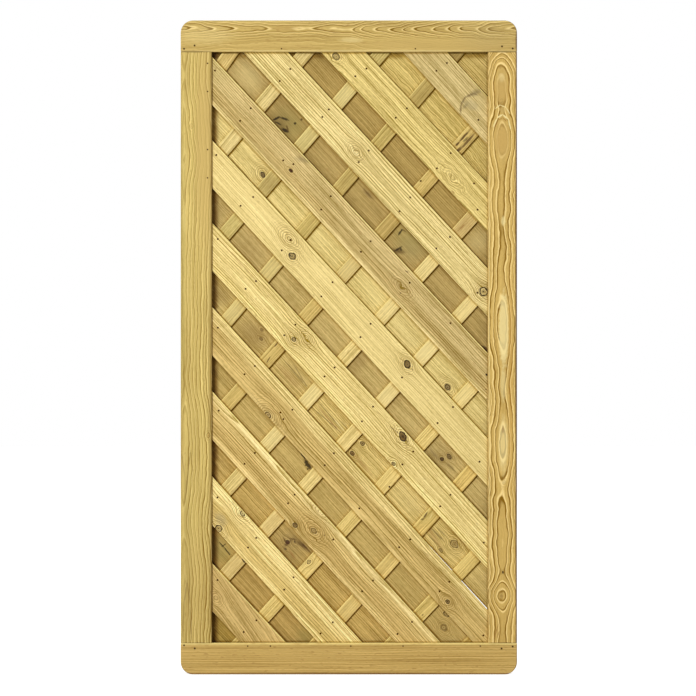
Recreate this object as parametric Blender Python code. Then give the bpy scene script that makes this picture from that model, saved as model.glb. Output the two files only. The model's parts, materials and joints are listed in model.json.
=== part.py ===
"""Framed wooden garden gate with a diagonal infill in three layers.

Four grooved timbers make the frame. The two rails run the full width and have rounded
outer corners. The two stiles stand between them, and their stub tenons fill the ends of
the rails' grooves. In the grooves sit front boards, battens and back boards. The boards
slope down to the right and the battens slope up to the right between them. The back
boards cover the gaps of the front boards. Steel pins hold the corners and the board ends.

Metres, +Z up, front towards -Y, origin at the middle of the bottom edge.
"""

import math

import bmesh
import bpy
from mathutils import Matrix, Vector

# Frame
GATE_WIDTH = 0.900
GATE_HEIGHT = 1.750
FRAME_THICKNESS = 0.045
LEFT_STILE_WIDTH = 0.083
RIGHT_STILE_WIDTH = 0.078
TOP_RAIL_DEPTH = 0.084
BOTTOM_RAIL_DEPTH = 0.084
OUTER_CORNER_RADIUS = 0.033
RAIL_EASE = 0.003
STILE_EASE = 0.005

# Groove and tenon
GROOVE_DEPTH = 0.022
TENON_END_CLEARANCE = 0.0005
BOARD_END_CLEARANCE = 0.004
FITTING_GAP = 0.0003

# Infill
BOARD_WIDTH = 0.087
BOARD_GAP = 0.067
BATTEN_WIDTH = 0.037
BATTEN_GAP = 0.1164
FIRST_FRONT_BOARD_INSET = 0.1273
FIRST_BACK_BOARD_INSET = 0.0503
FIRST_BATTEN_INSET = 0.0465
FRONT_BOARD_THICKNESS = 0.008
BATTEN_THICKNESS = 0.008
BACK_BOARD_THICKNESS = 0.008
INFILL_EASE = 0.0012
SMALLEST_TIP = 0.020

# Pins
PIN_RADIUS = 0.0015
PIN_SINK = 0.0005
STILE_PIN_INSET = 0.011
RAIL_PIN_INSET = 0.008

# Slopes, in degrees from the horizontal
BOARD_SLOPE = 47.35
BATTEN_SLOPE = 48.0

# How far each strip was nailed past the even pitch, as a share of the pitch, from its corner on
FRONT_SHIFT_SHARES = (-0.015, 0.005, 0.006, 0.012, 0.013, -0.012, 0.0, -0.013, -0.014, 0.017)
BACK_SHIFT_SHARES = (-0.05, 0.0, 0.0, 0.0, 0.0, 0.0, -0.037)
BATTEN_SHIFT_SHARES = (0.24, 0.015, -0.011, -0.002, 0.008, 0.003, -0.011, -0.009, -0.033, 0.04, 0.03)

# How much steeper than its slope each strip was nailed, in degrees
FRONT_LEANS = (0.20, -0.23, -0.09, -0.29, -0.09, -0.11, 0.36, 0.37, 0.54, -0.37)
BACK_LEANS = (0.0, 0.0, 0.0, 0.0, 0.0, 0.0, -0.07)
BATTEN_LEANS = (7.06, 1.78, 1.21, 1.49, 0.02, 0.02, -0.07, -0.21, 0.22, -1.35, -1.35)

# Pins at the board ends: front board, counted from 0 at the top right or back from -1 at the
# bottom left, its upper or lower end, share of the width off its middle
PINNED_END_SHARES = (
    (3, "upper", 0.26),
    (3, "upper", -0.33),
    (4, "upper", 0.20),
    (4, "upper", -0.39),
    (2, "upper", 0.42),
    (0, "upper", -0.16),
    (-1, "lower", 0.09),
    (-1, "lower", -0.42),
    (-2, "lower", 0.18),
    (-3, "lower", -0.42),
    (-4, "lower", -0.41),
)

# Pins in each tenon: share of its width from the outer side, share of its length
TOP_LEFT_PIN_SHARES = ((0.61, 0.77), (0.15, 0.37))
TOP_RIGHT_PIN_SHARES = ((0.72, 0.66), (0.21, 0.40))
BOTTOM_LEFT_PIN_SHARES = ((0.15, 0.27), (0.62, 0.66))
BOTTOM_RIGHT_PIN_SHARES = ((0.74, 0.67), (0.21, 0.43))

# How far a board-end pin goes into its board, and a corner pin into the back of the rail
BOARD_BITE_SHARE = 0.75
RAIL_BITE_SHARE = 0.5

# Facets and working values
CORNER_SEGMENTS = 10
EASE_SEGMENTS = 3
INFILL_EASE_SEGMENTS = 2
PIN_SIDES = 12
SMOOTH_LIMIT = math.radians(50)
OVERRUN = 0.010
SAME_PLACE = 1e-6
ROUND_PROFILE = 0.5

# Layers, from the front to the back
INFILL_THICKNESS = FRONT_BOARD_THICKNESS + BATTEN_THICKNESS + BACK_BOARD_THICKNESS + 2 * FITTING_GAP
GROOVE_WIDTH = INFILL_THICKNESS + 2 * FITTING_GAP
TENON_THICKNESS = GROOVE_WIDTH - 2 * FITTING_GAP
CHEEK_THICKNESS = (FRAME_THICKNESS - GROOVE_WIDTH) / 2
FRONT_Y = -FRAME_THICKNESS / 2
BACK_Y = FRAME_THICKNESS / 2
FRONT_BOARD_Y = -INFILL_THICKNESS / 2 + FRONT_BOARD_THICKNESS / 2
BATTEN_Y = FRONT_BOARD_Y + FRONT_BOARD_THICKNESS / 2 + FITTING_GAP + BATTEN_THICKNESS / 2
BACK_BOARD_Y = INFILL_THICKNESS / 2 - BACK_BOARD_THICKNESS / 2

# Edges of the frame and of the opening in it
LEFT_X = -GATE_WIDTH / 2
RIGHT_X = GATE_WIDTH / 2
OPENING_LEFT = LEFT_X + LEFT_STILE_WIDTH
OPENING_RIGHT = RIGHT_X - RIGHT_STILE_WIDTH
OPENING_BOTTOM = BOTTOM_RAIL_DEPTH
OPENING_TOP = GATE_HEIGHT - TOP_RAIL_DEPTH
GATE_MIDDLE = Vector((0, 0, GATE_HEIGHT / 2))
TENON_LENGTH = GROOVE_DEPTH - TENON_END_CLEARANCE
BOARD_INSERTION = GROOVE_DEPTH - BOARD_END_CLEARANCE
PIN_HOLE_RADIUS = PIN_RADIUS + FITTING_GAP

# The boards are laid from the opening's top right corner and the battens from its top left one,
# each pattern going down across its strips
TOP_RIGHT_CORNER = Vector((OPENING_RIGHT, 0, OPENING_TOP))
TOP_LEFT_CORNER = Vector((OPENING_LEFT, 0, OPENING_TOP))
BOTTOM_RIGHT_CORNER = Vector((OPENING_RIGHT, 0, OPENING_BOTTOM))
BOTTOM_LEFT_CORNER = Vector((OPENING_LEFT, 0, OPENING_BOTTOM))
BOARDS_DOWN = Vector((-math.sin(math.radians(BOARD_SLOPE)), 0, -math.cos(math.radians(BOARD_SLOPE))))
BATTENS_DOWN = Vector((math.sin(math.radians(BATTEN_SLOPE)), 0, -math.cos(math.radians(BATTEN_SLOPE))))

# Colours, linear
FRAME_COLOUR = (0.56, 0.41, 0.16)
FRONT_COLOUR = (0.68, 0.54, 0.25)
BATTEN_COLOUR = (0.62, 0.46, 0.20)
BACK_COLOUR = (0.43, 0.29, 0.11)
STEEL_COLOUR = (0.10, 0.09, 0.08)
TIMBER_ROUGHNESS = 0.7
STEEL_ROUGHNESS = 0.5


def clear_scene():
    """Removes the objects that the scene starts with."""
    for thing in list(bpy.data.objects):
        bpy.data.objects.remove(thing, do_unlink=True)


def new_collection(name):
    """Returns a new collection, linked to the scene."""
    collection = bpy.data.collections.new(name)
    bpy.context.scene.collection.children.link(collection)
    return collection


def new_material(name, colour, roughness, metallic=0.0):
    """Returns a plain Principled material."""
    material = bpy.data.materials.new(name)
    material.use_nodes = True
    shader = material.node_tree.nodes["Principled BSDF"]
    shader.inputs["Base Color"].default_value = (*colour, 1.0)
    shader.inputs["Roughness"].default_value = roughness
    shader.inputs["Metallic"].default_value = metallic
    material.diffuse_color = (*colour, 1.0)
    return material


def box(low, high):
    """Returns a bmesh box between two corners."""
    shape = bmesh.new()
    bmesh.ops.create_cube(shape, size=1)
    size = Vector(high) - Vector(low)
    middle = (Vector(high) + Vector(low)) / 2
    bmesh.ops.scale(shape, vec=size, verts=shape.verts)
    bmesh.ops.translate(shape, vec=middle, verts=shape.verts)
    return shape


def add_cylinder(shape, place, radius, depth):
    """Adds a cylinder along Y to a bmesh, its near end at the given place."""
    middle = Matrix.Translation(place + Vector((0, depth / 2, 0)))
    turned = middle @ Matrix.Rotation(math.radians(90), 4, "X")
    bmesh.ops.create_cone(
        shape,
        cap_ends=True,
        segments=PIN_SIDES,
        radius1=radius,
        radius2=radius,
        depth=depth,
        matrix=turned,
    )


def round_edges(shape, chosen, radius, segments):
    """Rounds the edges of a bmesh that the test picks."""
    edges = [edge for edge in shape.edges if chosen(edge)]
    bmesh.ops.bevel(
        shape,
        geom=edges,
        offset=radius,
        offset_type="OFFSET",
        segments=segments,
        profile=ROUND_PROFILE,
        affect="EDGES",
        clamp_overlap=True,
    )


def runs_along(edge, axis):
    """True where an edge lies along the axis numbered 0, 1 or 2."""
    step = edge.verts[1].co - edge.verts[0].co
    step[axis] = 0
    return step.length < SAME_PLACE


def lies_on_face(edge):
    """True where an edge lies on the front or the back of the frame."""
    return all(abs(abs(vert.co.y) - FRAME_THICKNESS / 2) < SAME_PLACE for vert in edge.verts)


def new_object(name, shape, collection, material=None):
    """Turns a bmesh into a named object."""
    mesh = bpy.data.meshes.new(name)
    shape.to_mesh(mesh)
    shape.free()
    made = bpy.data.objects.new(name, mesh)
    collection.objects.link(made)
    if material:
        mesh.materials.append(material)
        mesh.shade_smooth()
        mesh.set_sharp_from_angle(angle=SMOOTH_LIMIT)
    return made


def new_cutter(name, shape, collection):
    """Turns a bmesh into a cutter that stays out of the model."""
    cutter = new_object(name, shape, collection)
    cutter.hide_render = True
    cutter.display_type = "WIRE"
    return cutter


def cut(piece, cutter, operation="DIFFERENCE"):
    """Adds a Boolean modifier to a piece."""
    modifier = piece.modifiers.new(cutter.name, "BOOLEAN")
    modifier.operation = operation
    modifier.object = cutter
    modifier.solver = "EXACT"


def groove_cutter(name, low, high, collection):
    """Makes a cutter as thick as the groove between two corners given as (x, z)."""
    shape = box((low[0], -GROOVE_WIDTH / 2, low[1]), (high[0], GROOVE_WIDTH / 2, high[1]))
    return new_cutter(name, shape, collection)


def rail(name, low_z, high_z, outer_z, inner_z, parts, cutters, material):
    """Makes a full-width rail, grooved on its inner side and rounded at its outer corners."""
    shape = box((LEFT_X, FRONT_Y, low_z), (RIGHT_X, BACK_Y, high_z))

    def is_outer_corner(edge):
        """True at the two outer corners, whose edges run from front to back."""
        return runs_along(edge, 1) and abs(edge.verts[0].co.z - outer_z) < SAME_PLACE

    round_edges(shape, is_outer_corner, OUTER_CORNER_RADIUS, CORNER_SEGMENTS)
    round_edges(shape, lies_on_face, RAIL_EASE, EASE_SEGMENTS)
    piece = new_object(name, shape, parts, material)
    inwards = 1 if inner_z > outer_z else -1
    groove_ends = sorted((inner_z - inwards * GROOVE_DEPTH, inner_z + inwards * OVERRUN))
    groove = groove_cutter(
        name + "_groove",
        (LEFT_X - OVERRUN, groove_ends[0]),
        (RIGHT_X + OVERRUN, groove_ends[1]),
        cutters,
    )
    cut(piece, groove)
    return piece


def shoulder_cutter(name, low_x, high_x, collection):
    """Makes the four blocks that leave a tenon at each end of a stile."""
    shape = bmesh.new()
    top_ends = (OPENING_TOP - FITTING_GAP, OPENING_TOP + TENON_LENGTH + OVERRUN)
    bottom_ends = (OPENING_BOTTOM - TENON_LENGTH - OVERRUN, OPENING_BOTTOM + FITTING_GAP)
    for low_z, high_z in (top_ends, bottom_ends):
        for side in (-1, 1):
            ends = sorted((side * TENON_THICKNESS / 2, side * (FRAME_THICKNESS / 2 + OVERRUN)))
            block = box((low_x - OVERRUN, ends[0], low_z), (high_x + OVERRUN, ends[1], high_z))
            mesh = bpy.data.meshes.new(name)
            block.to_mesh(mesh)
            block.free()
            shape.from_mesh(mesh)
            bpy.data.meshes.remove(mesh)
    return new_cutter(name, shape, collection)


def stile(name, low_x, high_x, inner_x, parts, cutters, material):
    """Makes a stile with a groove on its inner side and a stub tenon at each end."""
    bottom = OPENING_BOTTOM - TENON_LENGTH
    top = OPENING_TOP + TENON_LENGTH
    shape = box((low_x, FRONT_Y, bottom), (high_x, BACK_Y, top))
    round_edges(shape, lambda edge: runs_along(edge, 2), STILE_EASE, EASE_SEGMENTS)
    piece = new_object(name, shape, parts, material)
    outwards = -1 if inner_x < 0 else 1
    groove_ends = sorted((inner_x + outwards * GROOVE_DEPTH, inner_x - outwards * OVERRUN))
    groove = groove_cutter(
        name + "_groove",
        (groove_ends[0], bottom - OVERRUN),
        (groove_ends[1], top + OVERRUN),
        cutters,
    )
    cut(piece, groove)
    cut(piece, shoulder_cutter(name + "_shoulders", low_x, high_x, cutters))
    return piece


def value_at(values, index):
    """Returns one value of a table, or zero past its end."""
    return values[index] if index < len(values) else 0.0


def strip_places(down, corners, first_inset, width, gap, slope, shift_shares, leans):
    """Returns the middle and the slope of each strip of a layer, laid from corner to corner."""
    pitch = width + gap
    first, last = ((corner - GATE_MIDDLE).dot(down) for corner in corners)
    start = first + first_inset
    count = math.floor((last - SMALLEST_TIP + width / 2 - start) / pitch) + 1
    places = []
    for index in range(count):
        station = start + (index + value_at(shift_shares, index)) * pitch
        places.append((GATE_MIDDLE + down * station, slope + value_at(leans, index)))
    return places


def strip(name, place, width, thickness, turn, parts, clip, material):
    """Makes one straight strip through a place, cut to the frame's inner outline."""
    length = 2 * math.hypot(GATE_WIDTH, GATE_HEIGHT)
    half = Vector((length, thickness, width)) / 2
    shape = box(-half, half)
    round_edges(shape, lambda edge: runs_along(edge, 0), INFILL_EASE, INFILL_EASE_SEGMENTS)
    piece = new_object(name, shape, parts, material)
    piece.location = place
    piece.rotation_euler = (0, math.radians(turn), 0)
    cut(piece, clip, "INTERSECT")
    return piece


def front_board_places():
    """Returns the middle and the slope of each front board, from the top right down."""
    return strip_places(
        BOARDS_DOWN,
        (TOP_RIGHT_CORNER, BOTTOM_LEFT_CORNER),
        FIRST_FRONT_BOARD_INSET,
        BOARD_WIDTH,
        BOARD_GAP,
        BOARD_SLOPE,
        FRONT_SHIFT_SHARES,
        FRONT_LEANS,
    )


def back_board_places():
    """Returns the middle and the slope of each back board, from the top right down."""
    return strip_places(
        BOARDS_DOWN,
        (TOP_RIGHT_CORNER, BOTTOM_LEFT_CORNER),
        FIRST_BACK_BOARD_INSET,
        BOARD_WIDTH,
        BOARD_GAP,
        BOARD_SLOPE,
        BACK_SHIFT_SHARES,
        BACK_LEANS,
    )


def batten_places():
    """Returns the middle and the slope of each batten, from the top left down."""
    return strip_places(
        BATTENS_DOWN,
        (TOP_LEFT_CORNER, BOTTOM_RIGHT_CORNER),
        FIRST_BATTEN_INSET,
        BATTEN_WIDTH,
        BATTEN_GAP,
        BATTEN_SLOPE,
        BATTEN_SHIFT_SHARES,
        BATTEN_LEANS,
    )


def board_end(middle, slope, end, across_share):
    """Returns the place in the frame where a line along a board leaves the opening."""
    along = Vector((math.cos(math.radians(slope)), 0, -math.sin(math.radians(slope))))
    across = Vector((-along.z, 0, along.x))
    start = middle + across * (across_share * BOARD_WIDTH)
    if end == "upper":
        to_stile = (start.x - (OPENING_LEFT - STILE_PIN_INSET)) / along.x
        to_rail = (OPENING_TOP + RAIL_PIN_INSET - start.z) / -along.z
        return start - along * min(to_stile, to_rail)
    to_stile = (OPENING_RIGHT + STILE_PIN_INSET - start.x) / along.x
    to_rail = (start.z - (OPENING_BOTTOM - RAIL_PIN_INSET)) / -along.z
    return start + along * min(to_stile, to_rail)


def board_pin_places(boards):
    """Returns the front board and the place on the front plane of each board-end pin."""
    places = []
    for counted, end, across_share in PINNED_END_SHARES:
        index = counted % len(boards)
        middle, slope = boards[index]
        place = board_end(middle, slope, end, across_share)
        places.append((index, Vector((place.x, FRONT_Y, place.z))))
    return places


def corner_pin_places():
    """Returns the place of each corner pin on the front plane."""
    left_tenon = LEFT_STILE_WIDTH - GROOVE_DEPTH
    right_tenon = RIGHT_STILE_WIDTH - GROOVE_DEPTH
    corners = (
        (LEFT_X, left_tenon, OPENING_TOP, TENON_LENGTH, TOP_LEFT_PIN_SHARES),
        (RIGHT_X, -right_tenon, OPENING_TOP, TENON_LENGTH, TOP_RIGHT_PIN_SHARES),
        (LEFT_X, left_tenon, OPENING_BOTTOM, -TENON_LENGTH, BOTTOM_LEFT_PIN_SHARES),
        (RIGHT_X, -right_tenon, OPENING_BOTTOM, -TENON_LENGTH, BOTTOM_RIGHT_PIN_SHARES),
    )
    return [
        Vector((outer_x + width * across_share, FRONT_Y, joint_z + length * along_share))
        for outer_x, width, joint_z, length, shares in corners
        for across_share, along_share in shares
    ]


def hole_cutter(name, places, depth, collection):
    """Makes one cutter with a round hole at each place."""
    shape = bmesh.new()
    for place in places:
        start = place - Vector((0, OVERRUN, 0))
        add_cylinder(shape, start, PIN_HOLE_RADIUS, depth + FITTING_GAP + OVERRUN)
    return new_cutter(name, shape, collection)


def pins(prefix, places, depth, parts, material):
    """Makes a steel pin at each place, its head sunk below the surface."""
    for index, place in enumerate(places):
        shape = bmesh.new()
        add_cylinder(shape, place + Vector((0, PIN_SINK, 0)), PIN_RADIUS, depth - PIN_SINK)
        new_object(f"{prefix}_{index + 1:02d}", shape, parts, material)


def frame(parts, cutters):
    """Makes the two rails and the two stiles."""
    top = rail(
        "top_rail",
        OPENING_TOP,
        GATE_HEIGHT,
        GATE_HEIGHT,
        OPENING_TOP,
        parts,
        cutters,
        new_material("top_rail_timber", FRAME_COLOUR, TIMBER_ROUGHNESS),
    )
    bottom = rail(
        "bottom_rail",
        0,
        OPENING_BOTTOM,
        0,
        OPENING_BOTTOM,
        parts,
        cutters,
        new_material("bottom_rail_timber", FRAME_COLOUR, TIMBER_ROUGHNESS),
    )
    left = stile(
        "left_stile",
        LEFT_X,
        OPENING_LEFT,
        OPENING_LEFT,
        parts,
        cutters,
        new_material("left_stile_timber", FRAME_COLOUR, TIMBER_ROUGHNESS),
    )
    right = stile(
        "right_stile",
        OPENING_RIGHT,
        RIGHT_X,
        OPENING_RIGHT,
        parts,
        cutters,
        new_material("right_stile_timber", FRAME_COLOUR, TIMBER_ROUGHNESS),
    )
    return top, bottom, left, right


def infill(boards, parts, cutters):
    """Makes the front boards, the battens and the back boards, and returns the front boards."""
    clip_shape = box(
        (OPENING_LEFT - BOARD_INSERTION, FRONT_Y, OPENING_BOTTOM - BOARD_INSERTION),
        (OPENING_RIGHT + BOARD_INSERTION, BACK_Y, OPENING_TOP + BOARD_INSERTION),
    )
    clip = new_cutter("infill_outline", clip_shape, cutters)
    front_timber = new_material("front_board_timber", FRONT_COLOUR, TIMBER_ROUGHNESS)
    batten_timber = new_material("batten_timber", BATTEN_COLOUR, TIMBER_ROUGHNESS)
    back_timber = new_material("back_board_timber", BACK_COLOUR, TIMBER_ROUGHNESS)
    layers = (
        ("front_board", boards, BOARD_WIDTH, FRONT_BOARD_THICKNESS, FRONT_BOARD_Y, 1, front_timber),
        ("batten", batten_places(), BATTEN_WIDTH, BATTEN_THICKNESS, BATTEN_Y, -1, batten_timber),
        ("back_board", back_board_places(), BOARD_WIDTH, BACK_BOARD_THICKNESS, BACK_BOARD_Y, 1, back_timber),
    )
    made = {}
    for prefix, places, width, thickness, layer_y, turn, timber in layers:
        made[prefix] = [
            strip(
                f"{prefix}_{index + 1:02d}",
                Vector((middle.x, layer_y, middle.z)),
                width,
                thickness,
                turn * slope,
                parts,
                clip,
                timber,
            )
            for index, (middle, slope) in enumerate(places)
        ]
    return made["front_board"]


def main():
    """Builds the gate."""
    clear_scene()
    parts = new_collection("garden_gate")
    cutters = new_collection("garden_gate_cutters")
    boards = front_board_places()
    members = frame(parts, cutters)
    front_boards = infill(boards, parts, cutters)

    steel = new_material("pin_steel", STEEL_COLOUR, STEEL_ROUGHNESS, 1.0)
    corner_places = corner_pin_places()
    corner_depth = CHEEK_THICKNESS + GROOVE_WIDTH + CHEEK_THICKNESS * RAIL_BITE_SHARE
    corner_holes = hole_cutter("corner_pin_holes", corner_places, corner_depth, cutters)
    pins("corner_pin", corner_places, corner_depth, parts, steel)

    board_pins = board_pin_places(boards)
    board_depth = CHEEK_THICKNESS + FITTING_GAP + FRONT_BOARD_THICKNESS * BOARD_BITE_SHARE
    board_places = [place for _, place in board_pins]
    board_holes = hole_cutter("board_pin_holes", board_places, board_depth, cutters)
    pins("board_pin", board_places, board_depth, parts, steel)

    for member in members:
        cut(member, corner_holes)
        cut(member, board_holes)
    for index in sorted({index for index, _ in board_pins}):
        cut(front_boards[index], board_holes)


main()
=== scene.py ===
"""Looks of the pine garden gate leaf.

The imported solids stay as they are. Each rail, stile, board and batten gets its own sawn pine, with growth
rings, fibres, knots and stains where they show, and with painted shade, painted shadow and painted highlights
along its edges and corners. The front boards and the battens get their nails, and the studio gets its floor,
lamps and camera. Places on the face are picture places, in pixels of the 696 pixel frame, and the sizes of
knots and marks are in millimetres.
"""

from __future__ import annotations

import json
import logging
import math
from collections.abc import Mapping
from dataclasses import dataclass, field, replace
from enum import Enum

import bmesh
import bpy
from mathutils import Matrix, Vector

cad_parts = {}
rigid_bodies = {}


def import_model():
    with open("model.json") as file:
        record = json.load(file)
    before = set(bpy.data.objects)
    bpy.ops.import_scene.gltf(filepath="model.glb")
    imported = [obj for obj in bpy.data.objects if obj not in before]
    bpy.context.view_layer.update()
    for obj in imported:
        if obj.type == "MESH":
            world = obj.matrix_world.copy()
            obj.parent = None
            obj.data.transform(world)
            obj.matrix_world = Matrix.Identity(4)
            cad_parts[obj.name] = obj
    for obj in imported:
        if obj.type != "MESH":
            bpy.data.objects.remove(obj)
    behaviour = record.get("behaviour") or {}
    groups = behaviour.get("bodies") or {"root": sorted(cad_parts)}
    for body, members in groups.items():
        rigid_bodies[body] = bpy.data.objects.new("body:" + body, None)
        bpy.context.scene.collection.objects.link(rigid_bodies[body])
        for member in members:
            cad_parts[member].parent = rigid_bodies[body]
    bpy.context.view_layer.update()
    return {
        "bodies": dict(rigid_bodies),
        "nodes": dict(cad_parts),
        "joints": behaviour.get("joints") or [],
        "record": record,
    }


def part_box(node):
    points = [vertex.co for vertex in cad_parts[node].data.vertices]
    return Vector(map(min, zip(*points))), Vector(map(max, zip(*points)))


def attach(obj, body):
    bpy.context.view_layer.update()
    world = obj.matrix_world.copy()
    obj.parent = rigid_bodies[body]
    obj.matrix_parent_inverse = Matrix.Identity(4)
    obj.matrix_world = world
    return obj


LOG = logging.getLogger("gate")

MILLIMETRE = 0.001

Place = tuple[float, float]
Triple = tuple[float, float, float]
Colour = tuple[float, float, float]
Socket = bpy.types.NodeSocket
Node = bpy.types.Node
NodeTree = bpy.types.NodeTree
Objects = dict[str, bpy.types.Object]


def linear(colour: Colour) -> tuple[float, float, float, float]:
    """Turns a colour as it is seen on a screen into the shader's own scale.

    Args:
        colour: Red, green and blue from 0 to 255.

    Returns:
        Linear red, green, blue and a full alpha.
    """
    steps = [channel / 255 for channel in colour]
    scaled = [step / 12.92 if step <= 0.04045 else ((step + 0.055) / 1.055) ** 2.4 for step in steps]
    return scaled[0], scaled[1], scaled[2], 1.0


def put_in_scene(name: str, data: bpy.types.ID) -> bpy.types.Object:
    """Makes an object and links it to the scene.

    Args:
        name: Its name.
        data: Its mesh, lamp or camera.

    Returns:
        The object.
    """
    made = bpy.data.objects.new(name, data)
    bpy.context.scene.collection.objects.link(made)
    return made


class Layer(Enum):
    """The layers of the leaf, each with the depth of its front face in metres."""

    FRAME = -0.0225
    FRONT_BOARDS = -0.0123
    BATTENS = -0.0040
    BACK_BOARDS = 0.0043


class Stain(Enum):
    """What discolours a place on the timber, and SHADE, which is painted shade on places that lie in shadow.
    """

    HOLE = (38, 26, 14)
    BARK = (92, 68, 34)
    HEART = (108, 82, 40)
    BROWN = (150, 106, 54)
    RESIN = (196, 146, 66)
    GREY = (150, 138, 104)
    GREEN = (158, 148, 82)
    PALE = (243, 224, 158)
    SHADE = (128, 98, 50)
    # Painted shade, not a stain.
    TAN = (202, 172, 102)
    SOOT = (120, 104, 70)
    DARK_BARK = (74, 44, 22)


HOLE, BARK, HEART, BROWN, RESIN, GREY, GREEN, PALE, SHADE, TAN, SOOT, DARK_BARK = Stain


@dataclass(frozen=True)
class PictureFrame:
    """The picture's frame, which places on the face are measured in."""

    eye: Place = (-0.0023, 0.8734)
    eye_depth: float = -6.0225
    distance: float = 6.0
    pixel: float = 0.002675
    pixels_across: int = 696
    sensor: float = 36.0

    def point(self, place: Place, depth: float) -> Vector:
        """Finds the point of the gate that shows at a place in the picture.

        Args:
            place: Pixels from the left and from the top.
            depth: How far back the surface lies, in metres.

        Returns:
            The point in the row's frame.
        """
        middle = self.pixels_across / 2
        scale = self.pixel * (depth - self.eye_depth) / self.distance
        across = self.eye[0] + (place[0] - middle) * scale
        height = self.eye[1] - (place[1] - middle) * scale
        return Vector((across, depth, height))

    def place(self, point: Vector) -> Place:
        """Finds the picture place that a point of the gate shows at.

        Args:
            point: The point in the row's frame.

        Returns:
            Pixels from the left and from the top.
        """
        scale = self.pixel * (point.y - self.eye_depth) / self.distance
        middle = self.pixels_across / 2
        return middle + (point.x - self.eye[0]) / scale, middle - (point.z - self.eye[1]) / scale

    def lens(self) -> float:
        """Returns the lens length that gives this frame, in millimetres."""
        return self.sensor * self.distance / (self.pixel * self.pixels_across)


PICTURE = PictureFrame()
BOARD_SLOPE = math.radians(47.35)
BATTEN_SLOPE = math.radians(-48.0)
STILE_SLOPE = math.radians(90.0)
RAIL_SLOPE = 0.0
LEAF_MIDDLE: Place = (348.7, 347.35)


def slat(along: float, across: float) -> Place:
    """Finds the picture place of a spot given along and across the boards, from the middle of the leaf.

    Args:
        along: Pixels down to the right.
        across: Pixels up to the right.

    Returns:
        Pixels from the left and from the top.
    """
    cosine, sine = math.cos(BOARD_SLOPE), math.sin(BOARD_SLOPE)
    return LEAF_MIDDLE[0] + cosine * along + sine * across, LEAF_MIDDLE[1] + sine * along - cosine * across


@dataclass(frozen=True)
class Lie:
    """How one timber lies: its middle, the slope of its grain, its half sizes and its face, in metres."""

    middle: Vector
    slope: float
    half_length: float
    half_width: float
    face: float

    def local(self, place: Place) -> Place:
        """Turns a picture place into metres along and across the timber.

        Args:
            place: Pixels from the left and from the top.

        Returns:
            Metres along the grain and across it, from the timber's middle.
        """
        offset = PICTURE.point(place, self.face) - self.middle
        cosine, sine = math.cos(self.slope), math.sin(self.slope)
        return cosine * offset.x - sine * offset.z, sine * offset.x + cosine * offset.z

    def heading(self, degrees: float) -> float:
        """Turns degrees in the picture, clockwise from the right, into radians against the grain."""
        return self.slope - math.radians(degrees)


@dataclass(frozen=True)
class Knot:
    """A knot, with rings around it and grain that flows past it.

    The radius is in millimetres, and reach is how far the flow goes in radii. Dark, flow and rings are
    shares, turn is how far the oval leans, and fill is how much of the tone lies inside the dark outline. A
    timber's first knot gives the tone of all its cores.
    """

    at: Place
    radius: float
    dark: float = 0.75
    stretch: float = 1.3
    flow: float = 0.85
    reach: float = 2.6
    rings: float = 0.5
    turn: float = 0.0
    fill: float = 0.45
    stain: Stain = HEART


@dataclass(frozen=True)
class Mark:
    """A stain, scratch or dot on the face, with its length and width in millimetres.

    Without a heading it lies along the grain. Soft is the share of it that fades out, and ragged how far its
    outline strays.
    """

    at: Place
    length: float
    width: float
    stain: Stain
    strength: float = 0.6
    heading: float | None = None
    soft: float = 0.6
    ragged: float = 0.35


def stroke(
    start: Place, end: Place, width: float, stain: Stain, strength: float = 0.6, soft: float = 0.5
) -> Mark:
    """Makes a mark that runs from one picture place to another.

    Args:
        start: Where it starts.
        end: Where it ends.
        width: Its full width in millimetres.
        stain: What it is.
        strength: How strongly it shows, from 0 to 1.
        soft: The share of it that fades out.

    Returns:
        The mark.
    """
    across, down = end[0] - start[0], end[1] - start[1]
    middle = (start[0] + across / 2, start[1] + down / 2)
    length = math.hypot(across, down) * PICTURE.pixel / MILLIMETRE
    heading = math.degrees(math.atan2(down, across))
    return Mark(middle, length, width, stain, strength, heading, soft, ragged=0.5)


def patch(at: Place, stain: Stain, strength: float, length: float = 90.0, width: float = 70.0) -> Mark:
    """Makes a broad soft change of tone, about as large as what a gap between strips shows.

    Args:
        at: Its middle.
        stain: The tone.
        strength: How strongly it shows in its middle, from 0 to 1.
        length: Its length along the grain in millimetres.
        width: Its width in millimetres.

    Returns:
        The mark.
    """
    return Mark(at, length, width, stain, strength, soft=1.0, ragged=0.25)


@dataclass(frozen=True)
class Band:
    """A strip of another tone along a timber, with its sides and softness in shares of the half width."""

    low: float
    high: float
    tone: Colour
    strength: float = 0.7
    soft: float = 0.14
    wave: float = 0.10


@dataclass(frozen=True)
class Swell:
    """A place where the growth rings rise to the face or sink from it, in millimetres, which makes arches."""

    at: Place
    rise: float
    length: float


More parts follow.
